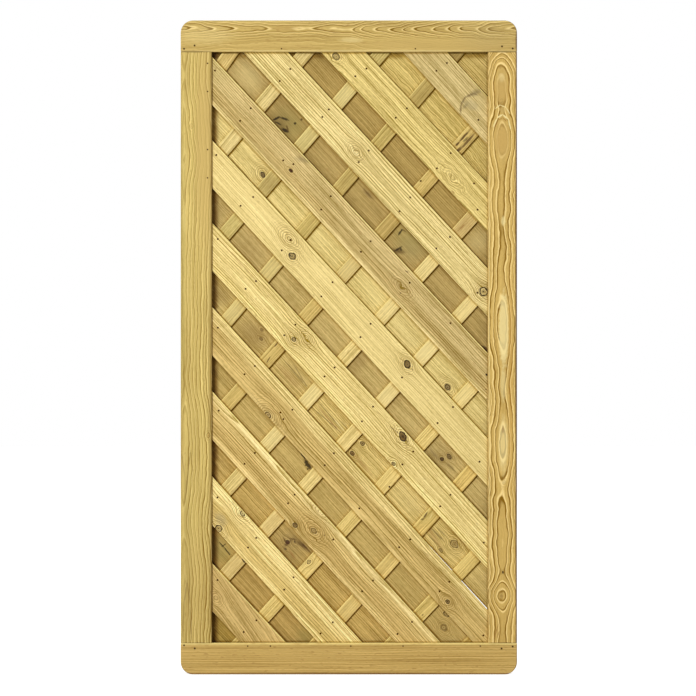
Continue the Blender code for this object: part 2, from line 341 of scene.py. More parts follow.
@dataclass(frozen=True)
class Pine:
    """The pine of one timber.

    The tone is its main colour, late the share of it that dark late wood keeps, contrast how dark late wood
    is, and pale how light early wood is. Late wood starts at the share late_from of a ring.

    Rings is the spacing of the growth rings, depth how far the pith lies behind the face, sway how far the
    rings wander across, ripple how far they shift along the timber, waver how far the grain wanders and curl
    how far it is stirred beside knots, all in millimetres. The ripple's rate is per metre, the pith lies
    across in shares of the half width, and the grain's turn against the timber is in degrees.

    Fine, streak, mottle, grit and flecks say how strongly the fine fibres, the broad streaks, the blotches,
    the sawn face and the resin flecks show, and run how short the fibres are. Upper is a painted highlight
    along the upper edge and lower painted shade along the lower edge, in worn-looking patches over a strip of
    edge millimetres. Painted side and under shade darken the sides that turn right and down. Calm is a zone
    that hides growth rings by its strength.
    """

    tone: Colour
    contrast: float = 1.3
    pale: float = 0.20
    late_from: float = 0.66
    late: Colour = (0.38, 0.32, 0.02)
    rings: float = 5.4
    pith: float = 1.5
    depth: float = 22.0
    sway: float = 3.5
    ripple: float = 1.4
    ripple_rate: float = 5.0
    waver: float = 0.8
    curl: float = 3.0
    turn: float = 0.0
    fine: float = 0.40
    streak: float = 0.14
    mottle: float = 0.18
    grit: float = 0.12
    run: float = 0.7
    upper: float = 0.92
    lower: float = 0.05
    edge: float = 4.0
    flecks: float = 0.30
    painted_side_shade: float = 0.0
    painted_under_shade: float = 0.0
    calm: Band | None = None
    bands: tuple[Band, ...] = ()
    swells: tuple[Swell, ...] = ()
    knots: tuple[Knot, ...] = ()
    marks: tuple[Mark, ...] = ()


class Pattern(Enum):
    """The noises, each with its features per metre along a timber, into it and across it."""

    KNOT_OUTLINE = (130.0, 60.0, 150.0)
    CALM_WANDER = (16.0, 20.0, 24.0)
    WILD_WANDER = (52.0, 50.0, 62.0)
    RING_SWAY = (3.2, 6.0, 7.0)
    RING_STRENGTH = (3.5, 40.0, 48.0)
    THREAD = (7.0, 190.0, 235.0)
    STREAK = (2.6, 60.0, 82.0)
    MOTTLE = (6.0, 12.0, 19.0)
    FLECK = (70.0, 160.0, 300.0)
    SAWN_FACE = (70.0, 160.0, 250.0)
    BAND_SIDE = (5.0, 8.0, 12.0)
    MARK_OUTLINE = (110.0, 60.0, 190.0)
    PAINTED_EDGE_NOISE = (26.0, 40.0, 60.0)
    SIDE_SHADE_NOISE = (12.0, 30.0, 30.0)
    PAINTED_SHADE_NOISE = (40.0, 40.0, 40.0)
    RUST = (420.0, 420.0, 420.0)
    STEEL_GRIT = (2400.0, 2400.0, 2400.0)
    FLOOR_WEAR = (3.0, 3.0, 3.0)


class Blend(Enum):
    """How a second colour goes on a first one."""

    COVER = "MIX"
    DARKEN = "MULTIPLY"


class Sheet:
    """Lays out the nodes of one shader and joins them up."""

    COLUMNS = 12
    COLUMN_WIDTH = 190
    ROW_HEIGHT = 260
    SEED_DEPTH = 2.7

    def __init__(self, tree: NodeTree) -> None:
        """Starts on a material's or a group's node tree."""
        self.tree = tree
        self.count = 0

    @classmethod
    def of(cls, owner: bpy.types.Material | bpy.types.World) -> Sheet:
        """Starts on the emptied nodes of a material or of the world.

        Args:
            owner: The material or the world.

        Returns:
            The sheet.
        """
        owner.use_nodes = True
        owner.node_tree.nodes.clear()
        return cls(owner.node_tree)

    def node(self, kind: str, inputs: Mapping[int | str, object] | None = None, **settings: object) -> Node:
        """Adds a node.

        Args:
            kind: The node's type name.
            inputs: What its sockets get, by number or name.
            settings: Values for its own properties.

        Returns:
            The node.
        """
        made = self.tree.nodes.new(kind)
        for name, value in settings.items():
            setattr(made, name, value)
        row, column = divmod(self.count, self.COLUMNS)
        made.location = (column * self.COLUMN_WIDTH, -row * self.ROW_HEIGHT)
        self.count += 1
        for name, value in (inputs or {}).items():
            self.feed(made.inputs[name], value)
        return made

    def feed(self, socket: Socket, value: object) -> None:
        """Joins a socket to another one, or sets its value.

        Args:
            socket: The input.
            value: An output socket, a number, a vector or a colour.
        """
        if isinstance(value, Socket):
            self.tree.links.new(value, socket)
        else:
            socket.default_value = value

    def maths(self, operation: str, *values: object) -> Socket:
        """Adds a Math node with this operation and these inputs, and returns its output."""
        return self.node("ShaderNodeMath", dict(enumerate(values)), operation=operation).outputs[0]

    def times(self, first: object, second: object) -> Socket:
        """Multiplies two values."""
        return self.maths("MULTIPLY", first, second)

    def plus(self, first: object, second: object) -> Socket:
        """Adds two values."""
        return self.maths("ADD", first, second)

    def minus(self, first: object, second: object) -> Socket:
        """Takes the second value from the first."""
        return self.maths("SUBTRACT", first, second)

    def over(self, first: object, second: object) -> Socket:
        """Divides the first value by the second."""
        return self.maths("DIVIDE", first, second)

    def larger(self, first: object, second: object) -> Socket:
        """Keeps the larger of two values."""
        return self.maths("MAXIMUM", first, second)

    def line(self, value: object, slope: object, start: object) -> Socket:
        """Multiplies a value by its slope and adds it to a start."""
        return self.maths("MULTIPLY_ADD", value, slope, start)

    def swing(self, noise: Socket, reach: float) -> Socket:
        """Turns a noise around 0.5 into one around 0 that goes as far as reach."""
        return self.line(noise, 2 * reach, -reach)

    def centred(self, value: Socket, strength: object, start: object) -> Socket:
        """Adds what a value differs from 0.5 by, at some strength, to a start."""
        return self.line(self.minus(value, 0.5), strength, start)

    def distance(self, first: Socket, second: Socket) -> Socket:
        """Finds how far a spot is, from its distances along two square ways."""
        return self.maths("SQRT", self.plus(self.times(first, first), self.times(second, second)))

    def bell(self, value: Socket) -> Socket:
        """Makes 1 where a value is 0, and less the further it is from 0."""
        return self.maths("EXPONENT", self.times(self.times(value, value), -1.0))

    def smooth(self, value: object, low: object, high: object) -> Socket:
        """Adds a soft step from 0 at low to 1 at high.

        Args:
            value: What is stepped.
            low: Where it is still 0.
            high: Where it has reached 1.

        Returns:
            The step.
        """
        inputs = {0: value, 1: low, 2: high}
        return self.node("ShaderNodeMapRange", inputs, interpolation_type="SMOOTHSTEP").outputs[0]

    def mix(self, share: object, first: object, second: object, blend: Blend = Blend.COVER) -> Socket:
        """Adds a colour mix.

        Args:
            share: How much of the second colour.
            first: The first colour.
            second: The second colour.
            blend: The kind of mix.

        Returns:
            The mixed colour.
        """
        inputs = {0: share, 6: first, 7: second}
        settings = {"data_type": "RGBA", "blend_type": blend.value, "clamp_result": blend is Blend.DARKEN}
        return self.node("ShaderNodeMix", inputs, **settings).outputs[2]

    def tint(self, share: object, colour: object, tone: Colour, blend: Blend = Blend.COVER) -> Socket:
        """Lays a share of a screen tone on a colour."""
        return self.mix(share, colour, linear(tone), blend)

    def split(self, vector: Socket) -> tuple[Socket, Socket, Socket]:
        """Splits a vector into its three parts."""
        parts = self.node("ShaderNodeSeparateXYZ", {0: vector}).outputs
        return parts[0], parts[1], parts[2]

    def join(self, first: object, second: object, third: object) -> Socket:
        """Makes a vector from three parts."""
        return self.node("ShaderNodeCombineXYZ", {0: first, 1: second, 2: third}).outputs[0]

    def noise(
        self,
        vector: Socket,
        pattern: Pattern,
        seed: object = 0.0,
        detail: float = 1.0,
        roughness: float = 0.5,
    ) -> Socket:
        """Adds a noise, moved by a seed so that each timber reads another part of it.

        Args:
            vector: Its coordinates, in metres.
            pattern: Its features per metre.
            seed: What moves it.
            detail: How many finer layers it has.
            roughness: How strong those layers are.

        Returns:
            Its value, around 0.5.
        """
        scaled = self.node("ShaderNodeVectorMath", {0: vector, 1: pattern.value}, operation="MULTIPLY")
        shift = self.join(seed, self.times(seed, self.SEED_DEPTH), 0.0)
        moved = self.node("ShaderNodeVectorMath", {0: scaled.outputs[0], 1: shift}, operation="ADD")
        inputs = {"Vector": moved.outputs[0], "Scale": 1.0, "Detail": detail, "Roughness": roughness}
        return self.node("ShaderNodeTexNoise", inputs, noise_dimensions="3D").outputs[0]

    def noise_along(self, value: Socket, detail: float) -> Socket:
        """Adds a noise that reads one value only.

        Args:
            value: What it reads.
            detail: How many finer layers it has.

        Returns:
            Its value, around 0.5.
        """
        inputs = {"W": value, "Scale": 1.0, "Detail": detail}
        return self.node("ShaderNodeTexNoise", inputs, noise_dimensions="1D").outputs[0]

    def bump(self, height: Socket, strength: float, reach: float) -> Socket:
        """Adds a relief.

        Args:
            height: What stands proud.
            strength: How strongly it shows.
            reach: How far it stands proud, in metres.

        Returns:
            The normals.
        """
        made = self.node("ShaderNodeBump", {"Height": height})
        made.inputs["Strength"].default_value = strength
        made.inputs["Distance"].default_value = reach
        return made.outputs[0]

    def group(self, tree: NodeTree, **values: object) -> Mapping[str, Socket]:
        """Places a shader group.

        Args:
            tree: The group.
            values: Its inputs by name, with an underscore for each space.

        Returns:
            Its outputs by name.
        """
        inputs = {name.replace("_", " "): value for name, value in values.items()}
        return self.node("ShaderNodeGroup", inputs, node_tree=tree).outputs


class SocketKind(Enum):
    """The kinds of socket that the shader groups use."""

    NUMBER = "NodeSocketFloat"
    VECTOR = "NodeSocketVector"


class ShaderGroup:
    """A shader group in the making: its sheet, its inputs and its outputs."""

    def __init__(self, name: str, inputs: tuple[str, ...], outputs: tuple[str, ...]) -> None:
        """Makes an empty group with its sockets, where Coordinates is a vector and all else a number.

        Args:
            name: The group's name.
            inputs: The names of its inputs.
            outputs: The names of its outputs.
        """
        self.tree = bpy.data.node_groups.new(name, "ShaderNodeTree")
        for way, labels in (("INPUT", inputs), ("OUTPUT", outputs)):
            for label in labels:
                kind = SocketKind.VECTOR if label == "Coordinates" else SocketKind.NUMBER
                self.tree.interface.new_socket(name=label, in_out=way, socket_type=kind.value)
        self.sheet = Sheet(self.tree)
        self.given = self.sheet.node("NodeGroupInput").outputs
        self.result = self.sheet.node("NodeGroupOutput").inputs

    def put(self, **values: object) -> NodeTree:
        """Joins the outputs.

        Args:
            values: What each output carries, with an underscore for each space in its name.

        Returns:
            The finished group.
        """
        for name, value in values.items():
            self.sheet.feed(self.result[name.replace("_", " ")], value)
        return self.tree


class TimberShaders:
    """The shader groups that all the timbers share."""

    KNOT_STRAY = 0.65
    KNOT_OUTLINE_STRAY = 0.55
    KNOT_RING_STRAY = 0.6
    KNOT_CORE = (1.15, 0.90)
    KNOT_OUTLINE = 0.95
    KNOT_OUTLINE_WIDTH = (0.26, 0.06)
    KNOT_EYE = (0.36, 0.12)
    KNOT_EYE_SHARE = 0.8
    KNOT_RING_RATE = 1350.0
    KNOT_RING_SHARPNESS = 3.0
    KNOT_RING_FADE = 0.8
    STIR_FADE = 0.6
    WANDER_SWING = 2.0
    SWAY_SWING = 1.2
    UNEVEN_RATE = 0.8
    EARLY_WOOD = (0.30, 0.10)
    EARLY_WOOD_START = (0.0, 0.05)
    LATE_WOOD_FULL = 0.88
    LATE_WOOD_END = (1.0, 0.95)
    RING_PATCHES = (0.30, 0.60)
    THREADS = (0.34, 0.64)
    SAW_MARKS = (0.34, 0.66)
    FLECKS = (0.68, 0.78)
    MARK_OUTER = 0.6
    MARK_INNER = -0.9
    PAINTED_EDGE_PATCHES = (0.12, 0.50)
    TURNED_AWAY = (0.15, 0.55)
    SIDE_SHADE_PATCHES = (0.25, 0.60)
    SIDE_SHADE_DEPTH = (8 * MILLIMETRE, 4 * MILLIMETRE)
    PAINTED_SHADE_FULL = 0.35

    def __init__(self) -> None:
        """Builds each group once."""
        self.knot = self._knot()
        self.wobble = self._wobble()
        self.swell = self._swell()
        self.rings = self._rings()
        self.fibre = self._fibre()
        self.band = self._band()
        self.mark = self._mark()
        # The painted highlight and shade along the edges.
        self.edges = self._painted_edge_light_group()
        self.painted_side_shade = self._painted_side_shade_group()
        self.painted_shade_beside = self._painted_shade_beside_group()

    def _knot(self) -> NodeTree:
        """Builds the knot: it spreads the grain around a spot and marks the core and the rings.

        Returns:
            The group.
        """
        group = ShaderGroup(
            "Knot",
            ("Coordinates", "Along", "Across", "Radius", "Stretch", "Flow", "Reach", "Slant", "Core Before",
             "Rim Before", "Rings Before", "Rings Share", "Core Share", "Rim Share", "Stir Before"),
            ("Coordinates", "Core", "Rim", "Rings", "Stir"),
        )
        sheet, given = group.sheet, group.given
        along, depth, across = sheet.split(given["Coordinates"])
        beside = sheet.minus(across, given["Across"])
        slanted = sheet.line(beside, given["Slant"], sheet.minus(along, given["Along"]))
        far = sheet.over(sheet.distance(sheet.over(slanted, given["Stretch"]), beside), given["Radius"])
        rough = sheet.noise(given["Coordinates"], Pattern.KNOT_OUTLINE, detail=2.0)
        off = sheet.swing(rough, self.KNOT_STRAY)
        rough_far = sheet.line(off, self.KNOT_OUTLINE_STRAY, far)
        core = sheet.times(sheet.smooth(rough_far, *self.KNOT_CORE), given["Core Share"])
        brink = sheet.maths("ABSOLUTE", sheet.minus(rough_far, self.KNOT_OUTLINE))
        outline = sheet.smooth(brink, *self.KNOT_OUTLINE_WIDTH)
        eye = sheet.times(sheet.smooth(rough_far, *self.KNOT_EYE), self.KNOT_EYE_SHARE)
        rim = sheet.times(sheet.larger(outline, eye), given["Rim Share"])
        fade = sheet.bell(sheet.over(far, given["Reach"]))
        lens = sheet.minus(1.0, sheet.times(given["Flow"], fade))
        bent = sheet.line(beside, lens, given["Across"])
        spread = sheet.times(sheet.line(off, self.KNOT_RING_STRAY, far), given["Radius"])
        wave = sheet.line(sheet.maths("COSINE", sheet.times(spread, self.KNOT_RING_RATE)), 0.5, 0.5)
        sharp = sheet.maths("POWER", wave, self.KNOT_RING_SHARPNESS)
        strong = sheet.times(sharp, sheet.maths("POWER", fade, self.KNOT_RING_FADE))
        stir = sheet.times(sheet.maths("POWER", fade, self.STIR_FADE), given["Flow"])
        return group.put(
            Coordinates=sheet.join(along, depth, bent),
            Core=sheet.larger(core, given["Core Before"]),
            Rim=sheet.larger(rim, given["Rim Before"]),
            Rings=sheet.larger(sheet.times(strong, given["Rings Share"]), given["Rings Before"]),
            Stir=sheet.larger(stir, given["Stir Before"]),
        )

    def _wobble(self) -> NodeTree:
        """Builds the wobble: grain that wanders across a timber, more so where knots stir it.

        Returns:
            The group.
        """
        group = ShaderGroup("Wobble", ("Coordinates", "Waver", "Curl", "Stir", "Seed"), ("Coordinates",))
        sheet, given = group.sheet, group.given
        along, depth, across = sheet.split(given["Coordinates"])
        calm = sheet.noise(given["Coordinates"], Pattern.CALM_WANDER, given["Seed"], detail=2.0)
        wild = sheet.noise(given["Coordinates"], Pattern.WILD_WANDER, given["Seed"])
        step = sheet.times(sheet.swing(calm, self.WANDER_SWING), given["Waver"])
        stirred = sheet.times(given["Curl"], given["Stir"])
        step = sheet.line(sheet.swing(wild, self.WANDER_SWING), stirred, step)
        return group.put(Coordinates=sheet.join(along, depth, sheet.plus(across, step)))

    @staticmethod
    def _swell() -> NodeTree:
        """Builds the swell: it lifts or sinks the growth rings around a place along the timber.

        Returns:
            The group.
        """
        inputs = ("Coordinates", "Along", "Height", "Length", "Rise Before")
        group = ShaderGroup("Ring Swell", inputs, ("Rise",))
        sheet, given = group.sheet, group.given
        along = sheet.split(given["Coordinates"])[0]
        fade = sheet.bell(sheet.over(sheet.minus(along, given["Along"]), given["Length"]))
        return group.put(Rise=sheet.line(fade, given["Height"], given["Rise Before"]))

    def _rings(self) -> NodeTree:
        """Builds the growth rings: distance from the pith, cut into early and late wood.

        Returns:
            The group.
        """
        group = ShaderGroup(
            "Growth Rings",
            ("Coordinates", "Rise", "Pith Across", "Pith Depth", "Spacing", "Sway", "Ripple", "Ripple Rate",
             "Late From", "Seed"),
            ("Late", "Early", "Ring Tone"),
        )
        sheet, given = group.sheet, group.given
        along, depth, across = sheet.split(given["Coordinates"])
        slow = sheet.noise(given["Coordinates"], Pattern.RING_SWAY, given["Seed"])
        sway = sheet.times(sheet.swing(slow, self.SWAY_SWING), given["Sway"])
        side = sheet.plus(sheet.minus(across, given["Pith Across"]), sway)
        roll = sheet.noise_along(sheet.line(along, given["Ripple Rate"], given["Seed"]), 1.0)
        rolled = sheet.times(sheet.swing(roll, self.WANDER_SWING), given["Ripple"])
        far = sheet.distance(side, sheet.plus(depth, given["Pith Depth"]))
        count = sheet.over(sheet.plus(far, sheet.plus(given["Rise"], rolled)), given["Spacing"])
        uneven = sheet.noise_along(sheet.line(count, self.UNEVEN_RATE, given["Seed"]), 0.0)
        spaced = sheet.line(uneven, 0.5, count)
        phase, ring = sheet.maths("FRACT", spaced), sheet.maths("FLOOR", spaced)
        draw = {"W": sheet.plus(ring, given["Seed"])}
        chance = sheet.node("ShaderNodeTexWhiteNoise", draw, noise_dimensions="1D").outputs[0]
        patchy = sheet.noise(given["Coordinates"], Pattern.RING_STRENGTH, given["Seed"], detail=1.5)
        kept = sheet.line(sheet.smooth(patchy, *self.RING_PATCHES), 0.5, 0.5)
        climb = sheet.smooth(phase, given["Late From"], self.LATE_WOOD_FULL)
        drop = sheet.smooth(phase, *self.LATE_WOOD_END)
        power = sheet.times(sheet.line(chance, 0.5, 0.5), kept)
        start = sheet.smooth(phase, *self.EARLY_WOOD_START)
        early = sheet.times(sheet.smooth(phase, *self.EARLY_WOOD), start)
        return group.put(Late=sheet.times(sheet.times(climb, drop), power), Early=early, Ring_Tone=chance)

    def _fibre(self) -> NodeTree:
        """Builds the fibres: fine lines, broad streaks, blotches and resin flecks.

        Returns:
            The group.
        """
        group = ShaderGroup(
            "Fibres",
            ("Coordinates", "Seed", "Fine", "Streak", "Mottle", "Grit", "Run"),
            ("Shade", "Lines", "Flecks"),
        )
        sheet, given = group.sheet, group.given
        plain, seed = given["Coordinates"], given["Seed"]
        along, depth, across = sheet.split(plain)
        drawn = sheet.join(sheet.times(along, given["Run"]), depth, across)
        thread = sheet.noise(drawn, Pattern.THREAD, seed, detail=2.0, roughness=0.55)
        fine = sheet.smooth(thread, *self.THREADS)
        streak = sheet.noise(drawn, Pattern.STREAK, seed, detail=1.5)
        mottle = sheet.noise(plain, Pattern.MOTTLE, seed, detail=2.0)
        fleck = sheet.noise(plain, Pattern.FLECK, seed, detail=0.0)
        sawn = sheet.smooth(sheet.noise(plain, Pattern.SAWN_FACE, seed), *self.SAW_MARKS)
        shade: object = 0.5
        for value, strength in ((fine, "Fine"), (streak, "Streak"), (mottle, "Mottle"), (sawn, "Grit")):
            shade = sheet.centred(value, given[strength], shade)
        return group.put(Shade=shade, Lines=fine, Flecks=sheet.smooth(fleck, *self.FLECKS))

    @staticmethod
    def _band() -> NodeTree:
        """Builds the band: a strip along the timber with soft, wavy sides.

        Returns:
            The group.
        """
        group = ShaderGroup("Tone Band", ("Coordinates", "Low", "High", "Soft", "Wave", "Seed"), ("Mask",))
        sheet, given = group.sheet, group.given
        across = sheet.split(given["Coordinates"])[2]
        low, high, soft = given["Low"], given["High"], given["Soft"]
        wander = sheet.noise(given["Coordinates"], Pattern.BAND_SIDE, given["Seed"], detail=2.0)
        moved = sheet.centred(wander, given["Wave"], across)
        rise = sheet.smooth(moved, sheet.minus(low, soft), sheet.plus(low, soft))
        fall = sheet.smooth(moved, sheet.plus(high, soft), sheet.minus(high, soft))
        return group.put(Mask=sheet.times(rise, fall))

    def _mark(self) -> NodeTree:
        """Builds the mark: a ragged oval stain or stroke at a place, turned against the grain.

        Returns:
            The group.
        """
        group = ShaderGroup(
            "Mark",
            ("Coordinates", "Along", "Across", "Cosine", "Sine", "Half Length", "Half Width", "Soft",
             "Ragged"),
            ("Mask",),
        )
        sheet, given = group.sheet, group.given
        along, _, across = sheet.split(given["Coordinates"])
        ahead = sheet.minus(along, given["Along"])
        beside = sheet.minus(across, given["Across"])
        turned = sheet.line(beside, given["Sine"], sheet.times(ahead, given["Cosine"]))
        lateral = sheet.minus(sheet.times(beside, given["Cosine"]), sheet.times(ahead, given["Sine"]))
        long_share = sheet.over(turned, given["Half Length"])
        far = sheet.distance(long_share, sheet.over(lateral, given["Half Width"]))
        rough = sheet.noise(given["Coordinates"], Pattern.MARK_OUTLINE, detail=2.0)
        strayed = sheet.plus(far, sheet.times(sheet.minus(rough, 0.5), sheet.times(given["Ragged"], 2.0)))
        outside = sheet.line(given["Soft"], self.MARK_OUTER, 1.0)
        inside = sheet.line(given["Soft"], self.MARK_INNER, 1.0)
        return group.put(Mask=sheet.smooth(strayed, outside, inside))

    def _painted_edge_light_group(self) -> NodeTree:
        """Builds the painted edge light: painted highlight on a timber's upper edge, painted shade on its
        lower one.

        Returns:
            The group.
        """
        inputs = ("Coordinates", "Half Width", "Wear Width", "Seed")
        group = ShaderGroup("Painted Edge Light", inputs, ("Upper", "Lower"))
        sheet, given = group.sheet, group.given
        across = sheet.split(given["Coordinates"])[2]
        patchy = sheet.noise(given["Coordinates"], Pattern.PAINTED_EDGE_NOISE, given["Seed"], detail=2.0)
        edge_patches = sheet.smooth(patchy, *self.PAINTED_EDGE_PATCHES)
        inner = sheet.minus(given["Half Width"], given["Wear Width"])
        upper = sheet.smooth(across, inner, given["Half Width"])
        lower = sheet.smooth(sheet.times(across, -1.0), inner, given["Half Width"])
        return group.put(Upper=sheet.times(upper, edge_patches), Lower=sheet.times(lower, edge_patches))

    def _painted_side_shade_group(self) -> NodeTree:
        """Builds the painted side shade: shade on the front of faces that turn right or down, away from the
        key lamp.

        Returns:
            The group.
        """
        group = ShaderGroup("Painted Side Shade", ("Coordinates", "Right", "Under", "Face"), ("Mask",))
        sheet, given = group.sheet, group.given
        facing = sheet.split(sheet.node("ShaderNodeNewGeometry").outputs["Normal"])
        right = sheet.times(sheet.smooth(facing[0], *self.TURNED_AWAY), given["Right"])
        down = sheet.smooth(sheet.times(facing[2], -1.0), *self.TURNED_AWAY)
        down = sheet.times(down, given["Under"])
        patchy = sheet.noise(given["Coordinates"], Pattern.SIDE_SHADE_NOISE, detail=2.0)
        # The patches break up the painted shade, which fades away from the front face.
        worn = sheet.line(sheet.smooth(patchy, *self.SIDE_SHADE_PATCHES), 0.5, 0.5)
        behind = sheet.minus(sheet.split(given["Coordinates"])[1], given["Face"])
        worn = sheet.times(worn, sheet.smooth(behind, *self.SIDE_SHADE_DEPTH))
        return group.put(Mask=sheet.times(sheet.larger(right, down), worn))

    def _painted_shade_beside_group(self) -> NodeTree:
        """Builds the painted shade beside a strip: painted shade along both edges of a strip that lies on it.

        Returns:
            The group.
        """
        group = ShaderGroup(
            "Painted Shade Beside", ("Coordinates", "Half Width", "Reach", "Above", "Below", "Before"), ("Mask",)
        )
        sheet, given = group.sheet, group.given
        across = sheet.split(given["Coordinates"])[2]
        outer = sheet.plus(given["Half Width"], given["Reach"])
        inner = sheet.line(given["Reach"], self.PAINTED_SHADE_FULL, given["Half Width"])
        sides = []
        for way, share in ((across, given["Above"]), (sheet.times(across, -1.0), given["Below"])):
            painted_shade = sheet.times(sheet.smooth(way, outer, inner), share)
            sides.append(sheet.times(painted_shade, sheet.maths("GREATER_THAN", way, 0.0)))
        return group.put(Mask=sheet.larger(sheet.larger(*sides), given["Before"]))


PALE_SHARE: Colour = (1.56, 1.66, 2.18)
KNOT_HEART: Colour = (44, 31, 10)
KNOT_RING: Colour = (140, 106, 46)
# Painted contact shade, multiplied into a strip along the edges of the strips and frame members on it.
PAINTED_CONTACT_SHADE: Colour = (170, 146, 0)
# Painted shadow beside the left stile.
CORNER_SHADE: Colour = (134, 104, 0)
# Painted highlight along the upper edges.
PAINTED_EDGE_HIGHLIGHT: Colour = (255, 234, 150)
# Painted shade along the lower edges.
PAINTED_EDGE_SHADE: Colour = (134, 98, 50)
FLECK_TONE: Colour = (150, 112, 58)
CREAM_LINE: Colour = (253, 234, 178)
# Painted shade on the sides that turn right and down.
PAINTED_SIDE_SHADE_TONE: Colour = (104, 58, 10)


@dataclass(frozen=True)
class PaintedShade:
    """Painted shade beside a strip or a frame member that lies on a strip.

    Above and below say how strong it is beside the upper and the lower edge, and reach is how far it goes, in
    millimetres. It is brown painted shade in the corners, or with shade the painted shadow beside the left
    stile.
    """

    above: float
    below: float
    reach: float
    shade: bool = False


# Painted shade beside the strips on a strip: the battens' shadow below them and dark lines along the boards.
BATTEN_PAINTED_SHADE = PaintedShade(0.20, 1.0, 6.5)
BOARD_PAINTED_SHADE = PaintedShade(0.85, 0.55, 6.0)
# Painted shadow under the top rail and beside the left stile, and painted shade beside the right stile and
# the bottom rail.
TOP_RAIL_PAINTED_SHADOW = {
    Layer.FRONT_BOARDS: PaintedShade(0.0, 0.70, 7.0),
    Layer.BATTENS: PaintedShade(0.0, 0.85, 4.0),
    Layer.BACK_BOARDS: PaintedShade(0.0, 0.75, 20.0),
}
LEFT_STILE_PAINTED_SHADOW = {
    Layer.FRONT_BOARDS: PaintedShade(0.60, 0.0, 4.0, shade=True),
    Layer.BATTENS: PaintedShade(0.90, 0.0, 20.0, shade=True),
    Layer.BACK_BOARDS: PaintedShade(0.88, 0.0, 22.0, shade=True),
}
RIGHT_STILE_PAINTED_SHADE = PaintedShade(0.0, 0.45, 4.0)
BOTTOM_RAIL_PAINTED_SHADE = PaintedShade(0.65, 0.0, 5.0)


@dataclass(frozen=True)
class Crossing:
    """A strip or frame member that lies on a strip, and the painted shade beside it."""

    lie: Lie
    painted_shade: PaintedShade


